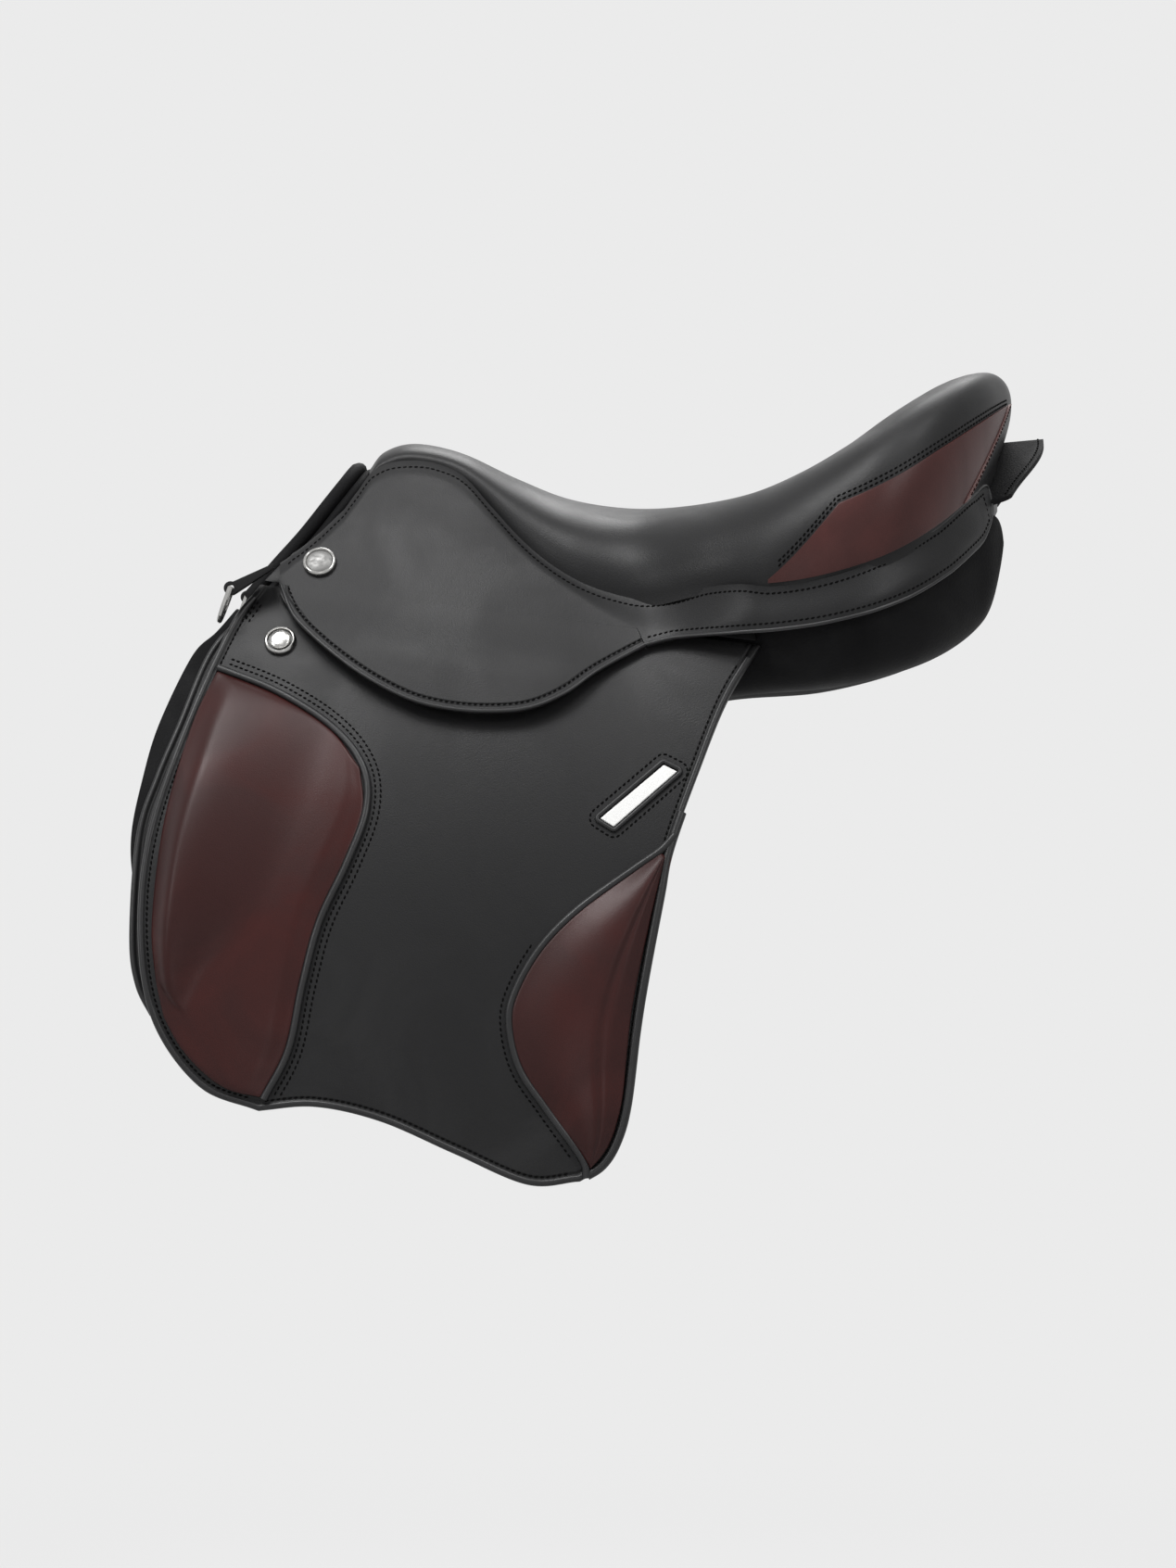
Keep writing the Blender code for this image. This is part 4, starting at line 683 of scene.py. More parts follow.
def on_side(x, z, depth, sign):
    """A point over the flap's outer face."""
    return Vector((x, sign * (half_width(x, z) + depth), z))


def side_normal(x, z, sign):
    step = 0.001
    slope_x = (half_width(x + step, z) - half_width(x - step, z)) / (2 * step)
    slope_z = (half_width(x, z + step) - half_width(x, z - step)) / (2 * step)
    return Vector((-slope_x, sign, -slope_z)).normalized()


def beside(outline, distance, start=0.0, end=1.0, spacing=0.0022):
    """Points beside a side-view outline, to the left of its direction for a positive distance."""
    at = evenly(outline)
    count = max(int(at.length * (end - start) / spacing), 4)
    step = 0.003 / at.length
    points = []
    for i in range(count + 1):
        part = mix(start, end, i / count)
        ahead = (at(part + step) - at(part - step)).normalized()
        points.append(at(part) + Vector((-ahead.y, ahead.x)) * distance)
    return points


def side_run(points, sign, depth=0.0):
    return [(on_side(p.x, p.y, depth, sign), side_normal(p.x, p.y, sign)) for p in points]


def skirt_depth(x, z):
    """Depth of the skirt's outer face: it sinks at the seat's seam and stands off at its free edge."""
    below = height_at(SKIRT_TOP, x) - z
    flare = smoothstep(0.0, 0.040, fold_height(x) - z) * smoothstep(0.0, 0.050, LOBE_END_X - x)
    on_strap = smoothstep(*STRAP_ROUND_X, x)
    width = mix(SKIRT_SINK_WIDTH, STRAP_SINK_WIDTH, on_strap)
    start = mix(SKIRT_SEAM_DEPTH, STRAP_SEAM_DEPTH, on_strap)
    return mix(start, SKIRT_DEPTH, smoothstep(0.0, width, below)) + SKIRT_FLARE * flare


def on_skirt(x, z, sign):
    return skirt_point(x, z, skirt_depth(x, z), sign)


def skirt_normal(x, z, sign):
    step = 0.0015
    along = on_skirt(x + step, z, sign) - on_skirt(x - step, z, sign)
    up = on_skirt(x, z + step, sign) - on_skirt(x, z - step, sign)
    return along.cross(up).normalized() * (-sign)


def skirt_run(points, sign):
    return [(on_skirt(p.x, p.y, sign), skirt_normal(p.x, p.y, sign)) for p in points]


def new_material(name, colour, roughness, metallic=0.0):
    material = bpy.data.materials.new(name)
    material.use_nodes = True
    shader = material.node_tree.nodes["Principled BSDF"]
    shader.inputs["Base Color"].default_value = (*colour, 1.0)
    shader.inputs["Roughness"].default_value = roughness
    shader.inputs["Metallic"].default_value = metallic
    return material


def new_group(name, inputs, outputs):
    """An empty shader node group with named float inputs (with defaults) and outputs."""
    group = bpy.data.node_groups.new(name, "ShaderNodeTree")
    for label, value in inputs.items():
        socket = group.interface.new_socket(name=label, in_out="INPUT", socket_type="NodeSocketFloat")
        socket.default_value = value
    for label in outputs:
        group.interface.new_socket(name=label, in_out="OUTPUT", socket_type="NodeSocketFloat")
    return group, group.nodes.new("NodeGroupInput"), group.nodes.new("NodeGroupOutput")


def calculate(tree, operation, first, second=0.0, third=0.0):
    """A Math node; its inputs are sockets or numbers."""
    node = tree.nodes.new("ShaderNodeMath")
    node.operation = operation
    for socket, value in zip(node.inputs, (first, second, third)):
        if isinstance(value, (int, float)):
            socket.default_value = value
        else:
            tree.links.new(value, socket)
    return node.outputs["Value"]


def between(tree, value, low, high, start=0.0, end=1.0):
    """A smooth Map Range node."""
    node = tree.nodes.new("ShaderNodeMapRange")
    node.interpolation_type = "SMOOTHSTEP"
    labels = ("Value", "From Min", "From Max", "To Min", "To Max")
    for label, item in zip(labels, (value, low, high, start, end)):
        if isinstance(item, (int, float)):
            node.inputs[label].default_value = item
        else:
            tree.links.new(item, node.inputs[label])
    return node.outputs["Result"]


def object_place(tree):
    return tree.nodes.new("ShaderNodeTexCoord").outputs["Object"]


def noise(tree, place, scale, detail=3.0, distortion=0.0):
    node = tree.nodes.new("ShaderNodeTexNoise")
    tree.links.new(place, node.inputs["Vector"])
    if isinstance(scale, (int, float)):
        node.inputs["Scale"].default_value = scale
    else:
        tree.links.new(scale, node.inputs["Scale"])
    node.inputs["Detail"].default_value = detail
    node.inputs["Distortion"].default_value = distortion
    return node.outputs["Fac"]


def leather_grain():
    """Pores and fine folds of a hide: their height, and a mask of its lighter places."""
    group, start, end = new_group("leather grain", {"Scale": 900.0}, ("Height", "Tone"))
    place = object_place(group)
    cells = group.nodes.new("ShaderNodeTexVoronoi")
    cells.feature = "SMOOTH_F1"
    cells.inputs["Smoothness"].default_value = 0.35
    cells.inputs["Randomness"].default_value = 1.0
    group.links.new(place, cells.inputs["Vector"])
    group.links.new(start.outputs["Scale"], cells.inputs["Scale"])
    fine = noise(group, place, calculate(group, "MULTIPLY", start.outputs["Scale"], 1.7), 4.0, 0.6)
    domes = calculate(group, "SUBTRACT", 1.0, cells.outputs["Distance"])
    height = calculate(group, "MULTIPLY_ADD", domes, 0.6, calculate(group, "MULTIPLY", fine, 0.5))
    group.links.new(height, end.inputs["Height"])
    broad = noise(group, place, 14.0, 4.0, 0.8)
    group.links.new(between(group, broad, 0.35, 0.7), end.inputs["Tone"])
    return group


def seam_relief():
    """Masks for the hollow along a row of stitches, which also carries painted shade, and for the painted
    highlight along the edge, by the distance to a piece's worked edges.
    """
    group, start, end = new_group("seam relief", {"Inset": 0.0035, "Width": 0.0016}, ("Hollow", "Highlight"))
    attribute = group.nodes.new("ShaderNodeAttribute")
    attribute.attribute_name = "edge"
    away = calculate(group, "SUBTRACT", attribute.outputs["Fac"], start.outputs["Inset"])
    share = calculate(group, "DIVIDE", calculate(group, "ABSOLUTE", away), start.outputs["Width"])
    group.links.new(between(group, share, 0.0, 1.0, 1.0, 0.0), end.inputs["Hollow"])
    # Mask of the painted highlight, strongest at a piece's worked edges.
    group.links.new(between(group, attribute.outputs["Fac"], 0.0002, 0.0022, 1.0, 0.0), end.inputs["Highlight"])
    return group


def place_group(tree, group, **values):
    node = tree.nodes.new("ShaderNodeGroup")
    node.node_tree = group
    for label, value in values.items():
        node.inputs[label].default_value = value
    return node


def mix_colour(tree, factor, first, second):
    node = tree.nodes.new("ShaderNodeMix")
    node.data_type = "RGBA"
    tree.links.new(factor, node.inputs["Factor"])
    for label, value in (("A", first), ("B", second)):
        socket = next(s for s in node.inputs if s.name == label and s.type == "RGBA")
        if isinstance(value, tuple):
            socket.default_value = (*value, 1.0)
        else:
            tree.links.new(value, socket)
    return next(s for s in node.outputs if s.type == "RGBA")


def add_bump(tree, height, distance):
    """A bump on the tree's Principled shader, from a height and the depth that a height of 1 stands for."""
    bump = tree.nodes.new("ShaderNodeBump")
    bump.inputs["Strength"].default_value = 1.0
    bump.inputs["Distance"].default_value = distance
    tree.links.new(height, bump.inputs["Height"])
    tree.links.new(bump.outputs["Normal"], tree.nodes["Principled BSDF"].inputs["Normal"])


GRAIN = leather_grain()
RELIEF = seam_relief()


def leather(name, dark, light, edge_highlight, roughness, grain_scale, grain_depth, seam=None, gloss=0.30):
    """A leather: two tones, grain, a painted highlight along its worked edges and, where it is stitched, a
    hollow seam line with painted shade in it.
    """
    material = new_material(name, dark, roughness)
    tree = material.node_tree
    shader = tree.nodes["Principled BSDF"]
    shader.inputs["Specular IOR Level"].default_value = gloss
    grain = place_group(tree, GRAIN, Scale=grain_scale)
    colour = mix_colour(tree, grain.outputs["Tone"], dark, light)
    height = calculate(tree, "MULTIPLY", grain.outputs["Height"], grain_depth)
    if seam:
        relief = place_group(tree, RELIEF, Inset=seam, Width=SEAM_WIDTH)
        sunk = calculate(tree, "MULTIPLY", relief.outputs["Hollow"], SEAM_HOLLOW)
        height = calculate(tree, "SUBTRACT", height, sunk)
        # Painted shade: the colour darkens in the hollow along the row of stitches.
        shade = calculate(tree, "MULTIPLY", relief.outputs["Hollow"], SEAM_SHADE)
        colour = mix_colour(tree, shade, colour, tuple(part * SEAM_SHADE_TONE for part in dark))
        # Painted highlight: the colour lightens towards a piece's worked edges, where the rounded edge
        # catches light.
        painted_highlight = calculate(tree, "MULTIPLY", relief.outputs["Highlight"], EDGE_HIGHLIGHT_SHARE)
        colour = mix_colour(tree, painted_highlight, colour, edge_highlight)
    add_bump(tree, height, 1.0)
    tree.links.new(colour, shader.inputs["Base Color"])
    rough = between(tree, grain.outputs["Tone"], 0.0, 1.0, roughness + 0.05, roughness - 0.04)
    tree.links.new(rough, shader.inputs["Roughness"])
    return material


def metal(name, colour, roughness):
    """A metal whose gloss is broken by faint handling marks."""
    material = new_material(name, colour, roughness, 1.0)
    tree = material.node_tree
    marks = noise(tree, object_place(tree), 420.0, 5.0, 0.5)
    rough = between(tree, marks, 0.3, 0.75, roughness * 0.8, roughness * 1.35)
    tree.links.new(rough, tree.nodes["Principled BSDF"].inputs["Roughness"])
    return material


def woven(name, colour, shade):
    """Webbing: fine ribs across a plain weave."""
    material = new_material(name, colour, 0.85)
    tree = material.node_tree
    place = object_place(tree)
    ribs = tree.nodes.new("ShaderNodeTexWave")
    ribs.bands_direction = "Z"
    ribs.inputs["Scale"].default_value = 260.0
    ribs.inputs["Distortion"].default_value = 0.6
    tree.links.new(place, ribs.inputs["Vector"])
    weave = mix_colour(tree, ribs.outputs["Fac"], shade, colour)
    tree.links.new(weave, tree.nodes["Principled BSDF"].inputs["Base Color"])
    add_bump(tree, ribs.outputs["Fac"], 0.0003)
    return material


def mottled(name, colour, shade, roughness, scale, gloss=0.5):
    """A plain stuff with a faint uneven tone and surface, such as moulded plastic or foam."""
    material = new_material(name, colour, roughness)
    tree = material.node_tree
    shader = tree.nodes["Principled BSDF"]
    shader.inputs["Specular IOR Level"].default_value = gloss
    spots = noise(tree, object_place(tree), scale, 5.0)
    tree.links.new(mix_colour(tree, spots, shade, colour), shader.inputs["Base Color"])
    add_bump(tree, spots, 0.0002)
    return material


BLACK = leather("black saddle leather", (0.0095, 0.0095, 0.010), (0.0145, 0.0145, 0.015),
                (0.040, 0.039, 0.039), 0.40, 1100.0, 0.00010, seam=0.0044, gloss=0.17)
PLAIN_BLACK = leather("black seat leather", (0.0095, 0.0095, 0.010), (0.0140, 0.0140, 0.0145),
                      (0.04, 0.04, 0.04), 0.40, 1100.0, 0.00010, gloss=0.17)
EDGE_BLACK = leather("black edge leather", (0.014, 0.014, 0.0145), (0.021, 0.021, 0.022),
                     (0.04, 0.04, 0.04), 0.32, 1500.0, 0.00004, gloss=0.26)
SOFT = leather("soft grained black leather", (0.0070, 0.0070, 0.0074), (0.0110, 0.0110, 0.0115),
               (0.03, 0.03, 0.03), 0.58, 620.0, 0.00022, gloss=0.04)
MAROON = leather("maroon pad leather", (0.021, 0.0036, 0.0031), (0.036, 0.0068, 0.0058),
                 (0.07, 0.02, 0.018), 0.36, 1300.0, 0.00006, gloss=0.21)
# A lighter copy of the maroon pad leather: its extra lightness is painted highlight on the cantle's
# inserts.
LIT_INSERT_MAROON = leather("maroon insert leather", (0.036, 0.0095, 0.0085), (0.056, 0.0160, 0.0145),
                        (0.10, 0.035, 0.030), 0.36, 1300.0, 0.00006, gloss=0.25)
PALE_MAROON = leather("maroon strip leather", (0.080, 0.028, 0.025), (0.110, 0.042, 0.038),
                      (0.15, 0.07, 0.06), 0.34, 1300.0, 0.00005, gloss=0.32)
MAROON_THREAD = mottled("maroon thread", (0.010, 0.003, 0.003), (0.007, 0.002, 0.002), 0.7, 3000.0,
                        gloss=0.03)
PALE = leather("white patent leather", (0.74, 0.74, 0.73), (0.80, 0.80, 0.79), (0.8, 0.8, 0.8),
               0.30, 1300.0, 0.00003)
THREAD = mottled("black thread", (0.004, 0.004, 0.004), (0.002, 0.002, 0.002), 0.7, 3000.0, gloss=0.03)
DARK_METAL = metal("blackened metal", (0.05, 0.05, 0.05), 0.45)
NICKEL = metal("polished nickel", (0.42, 0.416, 0.404), 0.22)
SATIN_NICKEL = metal("satin nickel", (0.150, 0.149, 0.146), 0.50)
STEEL = metal("forged steel", (0.45, 0.45, 0.47), 0.38)
TREE_PLASTIC = mottled("tree polymer", (0.075, 0.07, 0.065), (0.05, 0.047, 0.044), 0.6, 60.0)
WEBBING = woven("webbing", (0.045, 0.045, 0.047), (0.022, 0.022, 0.023))
FOAM = mottled("seat foam", (0.022, 0.022, 0.023), (0.014, 0.014, 0.015), 0.9, 380.0)


def on_seat(station, across, sign, lift=0.0):
    point = seat_point(station, across, lift)
    return Vector((point.x, sign * point.y, point.z))


def seat_normal(station, across, sign):
    step = 0.02
    along = on_seat(min(station + step, LAST_STATION), across, sign)
    along -= on_seat(station - step, across, sign)
    inwards = on_seat(station, min(across + step, 1.0), sign)
    inwards -= on_seat(station, max(across - step, 0.0), sign)
    return along.cross(inwards).normalized() * -sign


def seat_run(places, sign, lift=0.0):
    """Points and normals at these (station, across) places of the seat."""
    return [(on_seat(*place, sign, lift), seat_normal(*place, sign)) for place in places]


def make_seat():
    """The seat's leather, in one piece."""

    def skin(u, v):
        across = max(v - TUCK_SHARE, 0.0) / (1 - TUCK_SHARE)
        point = seat_point(mix(0.0, LAST_STATION, u), across)
        tucked = TUCK_DEPTH * max(TUCK_SHARE - v, 0.0) / TUCK_SHARE
        return point - Vector((0.0, 0.0, tucked))

    item = middle_sheet("seat_leather", 150, 56, skin, (0.0, 0.0, 1.0), SEAT_THICKNESS, 0.0002)
    smooth(item, 50.0)
    dress(item, PLAIN_BLACK, "saddle", ["seat_cover"])


def make_inserts():
    """Maroon panels let into the sides of the cantle, their end strips and their double row of stitches."""

    def across_at(degrees):
        return degrees / 90.0 * ROLL_SHARE + INSERT_SEAM_SHARE

    def top_degrees(u):
        return INSERT_TOP_ANGLE * min(1.0, 4.0 * u + 0.06)

    for side, sign in SIDES:
        def place(u, v):
            station = mix(INSERT_START, INSERT_END + INSERT_LEAN * v, u)
            return on_seat(station, across_at(v * top_degrees(u)), sign, INSERT_LIFT)

        def strip(u, v):
            station = INSERT_END + INSERT_LEAN * v + mix(-INSERT_STRIP / 4, INSERT_STRIP, u)
            return on_seat(station, across_at(v * INSERT_TOP_ANGLE), sign, STRIP_LIFT)

        item = leather_sheet(f"cantle_panel_{side}", 120, 30, place, INSERT_THICKNESS, rounding=0.0008)
        dress(item, LIT_INSERT_MAROON, "saddle", [f"cantle_insert_{side}"])
        item = leather_sheet(f"cantle_strip_{side}", 6, 36, strip, STRIP_THICKNESS, rounding=0.0004)
        dress(item, PALE_MAROON, "saddle")
        runs = []
        for above in INSERT_ROWS:
            places = []
            for i in range(91):
                u = mix(0.03, 1.0, i / 90)
                station = mix(INSERT_START, INSERT_END + INSERT_LEAN, u)
                places.append((station, across_at(top_degrees(u) + above)))
            runs.append(seat_run(places, sign))
        stitching(f"cantle_stitches_{side}", runs, "saddle", THREAD)
        places = []
        for i in range(61):
            v = mix(0.04, 0.97, i / 60)
            station = INSERT_END + INSERT_LEAN * v + INSERT_STRIP * 0.45
            places.append((station, across_at(v * INSERT_TOP_ANGLE)))
        run = seat_run(places, sign, STRIP_LIFT)
        stitching(f"cantle_strip_stitches_{side}", [run], "saddle", MAROON_THREAD)


def upper_low(x):
    """Lower edge of the skirt's fixed part: the fold line, then down to the strap's lower edge."""
    folded = min(fold_height(x), height_at(SKIRT_TOP, x) - 0.002)
    part = smoothstep(0.0, STEP_LENGTH, x - LOBE_END_X)
    return mix(folded, height_at(STRAP_LOWER, max(x, STRAP_LOWER[0][0])), part)


def upper_place(u, v):
    """Side-view place on the skirt's fixed part and its strap: u along it, v from its upper edge down."""
    if u < STRAIGHT_SHARE:
        x = mix(SKIRT_TOP[0][0], RIM_X, u / STRAIGHT_SHARE)
    else:
        turn = (u - STRAIGHT_SHARE) / (1 - STRAIGHT_SHARE) * STRAP_END_TURN
        x = RIM_X + RIM_DEPTH * math.sin(turn)
    top, low = height_at(SKIRT_TOP, x), upper_low(x)
    into_tip = min(max(u - 1 + STRAP_TIP_LENGTH, 0.0) / STRAP_TIP_LENGTH, 1.0)
    narrow = mix(STRAP_TIP_LEAST, 1.0, math.sqrt(1 - into_tip**2))
    tip = mix(low, top, STRAP_TIP_HEIGHT)
    return x, tip + (mix(top, low, v) - tip) * narrow


def upper_line(start, end, inset, from_top, count=200):
    """Points beside the upper or lower edge of the fixed part, a distance inside it."""
    points = []
    for i in range(count + 1):
        u = mix(start, end, i / count)
        height = upper_place(u, 0.0)[1] - upper_place(u, 1.0)[1]
        share = min(inset / max(height, 0.004), 0.5)
        points.append(Vector(upper_place(u, share if from_top else 1 - share)))
    return points


def skirt_edging(name, line, sign, body):
    """The round edge of the skirt or its strap along a line."""
    edge = [skirt_point(p.x, p.y, skirt_depth(p.x, p.y) - EDGE_SINK, sign) for p in line]
    dress(tube(name, edge, EDGE_RADIUS), EDGE_BLACK, body)


def side_cord(name, line, depth, radius, sign, body, look=EDGE_BLACK, closed=False):
    """A round cord over the flap's outer face, such as a bead, a piping or a rolled edge."""
    points = [on_side(p.x, p.y, depth, sign) for p in line]
    dress(tube(name, points, radius, closed), look, body)


def make_skirts():
    """Skirts: the fixed upper part with its strap, the lobe that lifts, their edges, stitches and nails."""
    front = (SKIRT_LOWER[0][0], fold_height(SKIRT_LOWER[0][0]))
    rear = []
    for i in range(9):
        x = LOBE_END_X + STEP_LENGTH * i / 8
        rear.append((x - SKIRT_GAP, upper_low(x)))
    bottom = SKIRT_CORNER[-1:] + SKIRT_LOWER[2:-1] + [rear[-1]]
    lobe = coons([front] + SKIRT_CORNER, rear, [front, rear[0]], bottom)
    lower = [front] + bottom
    start_x = SKIRT_TOP[0][0]
    strap_start = STRAIGHT_SHARE * (LOBE_END_X + STEP_LENGTH - start_x) / (RIM_X - start_x)

    for side, sign in SIDES:
        def fixed(u, v):
            return on_skirt(*upper_place(u, v), sign)

        def hanging(u, v):
            return on_skirt(*lobe(u, v), sign)

        item = leather_sheet(f"skirt_upper_{side}", 320, 26, fixed, SKIRT_THICKNESS, "rear")
        dress(item, PLAIN_BLACK, "saddle", [f"skirt_root_{side}"])
        item = leather_sheet(f"skirt_lobe_{side}", 110, 34, hanging, SKIRT_THICKNESS, "front bottom")
        dress(item, BLACK, f"skirt_{side}", [f"skirt_{side}"])

        skirt_edging(f"skirt_edge_{side}", beside(lower, EDGE_OUTSET), sign, f"skirt_{side}")
        line = upper_line(strap_start, 1.0, EDGE_OUTSET, False)
        line += [Vector(upper_place(1.0, 1 - i / 8)) for i in range(1, 8)]
        line += upper_line(1.0, STRAP_EDGE_END, EDGE_OUTSET, True, 80)
        skirt_edging(f"strap_edge_{side}", line, sign, "saddle")

        low = beside(lower, SKIRT_ROW_INSET, 0.012, 0.998)
        stitching(f"skirt_stitches_{side}", [skirt_run(low, sign)], f"skirt_{side}", THREAD)
        line = upper_line(0.01, STRAP_ROW_TURN, SKIRT_ROW_INSET, True, 300)
        line += upper_line(STRAP_ROW_TURN, strap_start, SKIRT_ROW_INSET, False, 160)
        stitching(f"strap_stitches_{side}", [skirt_run(line, sign)], "saddle", THREAD)

        centre = skirt_point(*NAIL, SKIRT_DEPTH + HEAD_GAP, sign)
        normal = side_normal(*NAIL, sign)
        item = turned(f"nail_rim_{side}", NAIL_RIM, centre, normal)
        dress(item, NICKEL, "saddle", [f"skirt_nail_{side}"])
        dress(turned(f"nail_face_{side}", NAIL_FACE, centre, normal), SATIN_NICKEL, "saddle")


def knee_height(u, v):
    """Height of the knee pad: a block with its ridge near the front, and a low cushion behind it."""
    fade = mix(*KNEE_FADE, smoothstep(*KNEE_FADE_ROWS, v))
    if u < KNEE_RIDGE:
        block_height = math.sin(u / KNEE_RIDGE * math.pi / 2) ** RISE_POWER
    else:
        block_height = (1 + math.cos(math.pi * min((u - KNEE_RIDGE) / (fade - KNEE_RIDGE), 1.0))) / 2
    block_height *= math.sqrt(max(math.sin(math.pi * min(v / KNEE_BLOCK_END, 1.0)), 0.0))
    cushion = smoothstep(0.0, CUSHION_EDGE, u) * smoothstep(0.0, CUSHION_EDGE, 1 - u)
    return PAD_EDGE + KNEE_BLOCK * block_height + KNEE_CUSHION * cushion * math.sqrt(4 * v * (1 - v))


def thigh_height(u, v):
    """Height of the thigh pad: it rises slowly to a ridge, with a crease and a low roll behind it."""
    across = u / THIGH_RIDGE if u < THIGH_RIDGE else (1 - u) / (1 - THIGH_RIDGE)
    crown = math.sqrt(4 * v * (1 - v)) * math.sin(across * math.pi / 2) ** RISE_POWER
    crease = THIGH_CREASE * math.exp(-((u - THIGH_CREASE_AT) / THIGH_CREASE_WIDTH) ** 2)
    return PAD_EDGE + THIGH_CROWN * crown * (1 - crease)


def make_flaps():
    """Flaps with their rolled edges, stitching and studs, then the pads and inlays on them."""
    top = [(edge[0][0], fold_height(edge[0][0]) - FLAP_TOP_GAP) for edge in (FLAP_FRONT, FLAP_REAR)]
    flap = coons(top[:1] + FLAP_FRONT[1:], top[1:] + FLAP_REAR[1:], top, FLAP_BOTTOM)
    for side, sign in SIDES:
        body = f"flap_{side}"

        def place(u, v):
            return on_side(*flap(u, v), 0.0, sign)

        item = leather_sheet(f"flap_leather_{side}", 110, 120, place, FLAP_THICKNESS, "front rear bottom")
        dress(item, BLACK, body, [body])
        line = beside(FLAP_FRONT, FLAP_EDGE_OUTSET, 0.02)
        line += beside(FLAP_BOTTOM, FLAP_EDGE_OUTSET, 0.02, 0.985)
        line += reversed(beside(FLAP_REAR, -FLAP_EDGE_OUTSET, 0.03))
        side_cord(f"flap_rolled_edge_{side}", line, FLAP_EDGE_DEPTH, FLAP_EDGE_RADIUS, sign, body)
        runs = [side_run(beside(FLAP_FRONT, FLAP_ROW_INSET, 0.03, 0.98), sign),
                side_run(beside(FLAP_BOTTOM, FLAP_ROW_INSET, 0.02, 0.97), sign),
                side_run(beside(FLAP_REAR, -FLAP_ROW_INSET, 0.05, 0.42), sign)]
        for first, last in FLAP_MARK:
            run = [Vector(first).lerp(Vector(last), i / 8) for i in range(9)]
            runs.append(side_run(run, sign))
        stitching(f"flap_stitches_{side}", runs, body, THREAD)
        centre, normal = on_side(*STUD, HEAD_GAP, sign), side_normal(*STUD, sign)
        item = turned(f"stud_rim_{side}", STUD_RIM, centre, normal)
        dress(item, NICKEL, body, [f"flap_stud_{side}"])
        dress(turned(f"stud_groove_{side}", STUD_GROOVE, centre, normal), DARK_METAL, body)
        dress(turned(f"stud_face_{side}", STUD_FACE, centre, normal), NICKEL, body)
    make_pads()
    for side, sign in SIDES:
        make_inlay(side, sign, f"flap_{side}")


def closed_pad(name, columns, rows, place, back):
    """A padded piece: its crowned face and its back, joined round the edge."""
    item = grid(name, columns, rows, place)
    face_out(item, outwards)
    apply_modifier(item, "SOLIDIFY", thickness=0.001, offset=-1.0)
    face_points = len(item.data.vertices) // 2
    base = grid(name + "_back", columns, rows, back)
    backs = [point.co.copy() for point in base.data.vertices]
    bpy.data.objects.remove(base, do_unlink=True)
    for index, target in enumerate(backs):
        item.data.vertices[face_points + index].co = target
    smooth(item, 70.0)
    return item


def fill_like_cloth(item, held, cap):
    """Swells a closed pad with cloth. Held points stay, and none moves further than cap."""
    mesh = item.data
    before = [point.co.copy() for point in mesh.vertices]
    group = item.vertex_groups.new(name="held")
    group.add(held, 1.0, "REPLACE")
    select_only(item)
    cloth = item.modifiers.new("Cloth", "CLOTH")
    cloth.settings.vertex_group_mass = group.name
    cloth.settings.use_pressure = True
    cloth.settings.uniform_pressure_force = PAD_PRESSURE
    cloth.settings.effector_weights.gravity = 0.0
    cloth.point_cache.frame_start = 1
    cloth.point_cache.frame_end = CLOTH_FRAMES
    for number in range(1, CLOTH_FRAMES + 1):
        bpy.context.scene.frame_set(number)
    bpy.ops.object.modifier_apply(modifier=cloth.name)
    item.vertex_groups.clear()
    bpy.context.scene.frame_set(1)
    moves = []
    for point, start in zip(mesh.vertices, before):
        moved = point.co - start
        moves.append(moved if moved.length <= cap else moved.normalized() * cap)
    neighbours = [[] for _ in moves]
    for edge in mesh.edges:
        first, second = edge.vertices
        neighbours[first].append(second)
        neighbours[second].append(first)
    still = set(held)
    for _ in range(CLOTH_EASING):
        eased = []
        for i, (move, near) in enumerate(zip(moves, neighbours)):
            beside_it = sum((moves[j] for j in near), Vector())
            eased.append(move if i in still else move / 2 + beside_it / (2 * len(near)))
        moves = eased
    for point, start, move in zip(mesh.vertices, before, moves):
        point.co = start + move


def rim_and_back(item, columns, rows):
    """Indices of a closed pad's rim points and back points."""
    count = (columns + 1) * (rows + 1)
    held = []
    for index in range(count):
        column, row = index % (columns + 1), index // (columns + 1)
        if column in (0, columns) or row in (0, rows):
            held.append(index)
    return held + list(range(count, len(item.data.vertices)))


def copy_across(item, twin):
    """Gives the right-hand piece the shape of the left one, mirrored."""
    for point, target in zip(item.data.vertices, twin.data.vertices):
        target.co = (point.co.x, -point.co.y, point.co.z)


def padded_pair(name, columns, rows, face, back, cap, look, body):
    """A pad on each side: the left is filled like cloth and the right is its mirror image."""
    pieces = []
    for side, sign in SIDES:
        item = closed_pad(name.format(side), columns, rows, lambda u, v: face(u, v, sign),
                          lambda u, v: back(u, v, sign))
        pieces.append(item)
    fill_like_cloth(pieces[0], rim_and_back(pieces[0], columns, rows), cap)
    copy_across(*pieces)
    for (side, sign), item in zip(SIDES, pieces):
        apply_modifier(item, "SUBSURF", levels=1, render_levels=1)
        smooth(item, 70.0)
        node = name.format(side).removesuffix("_leather")
        dress(item, look, body.format(side), [node])


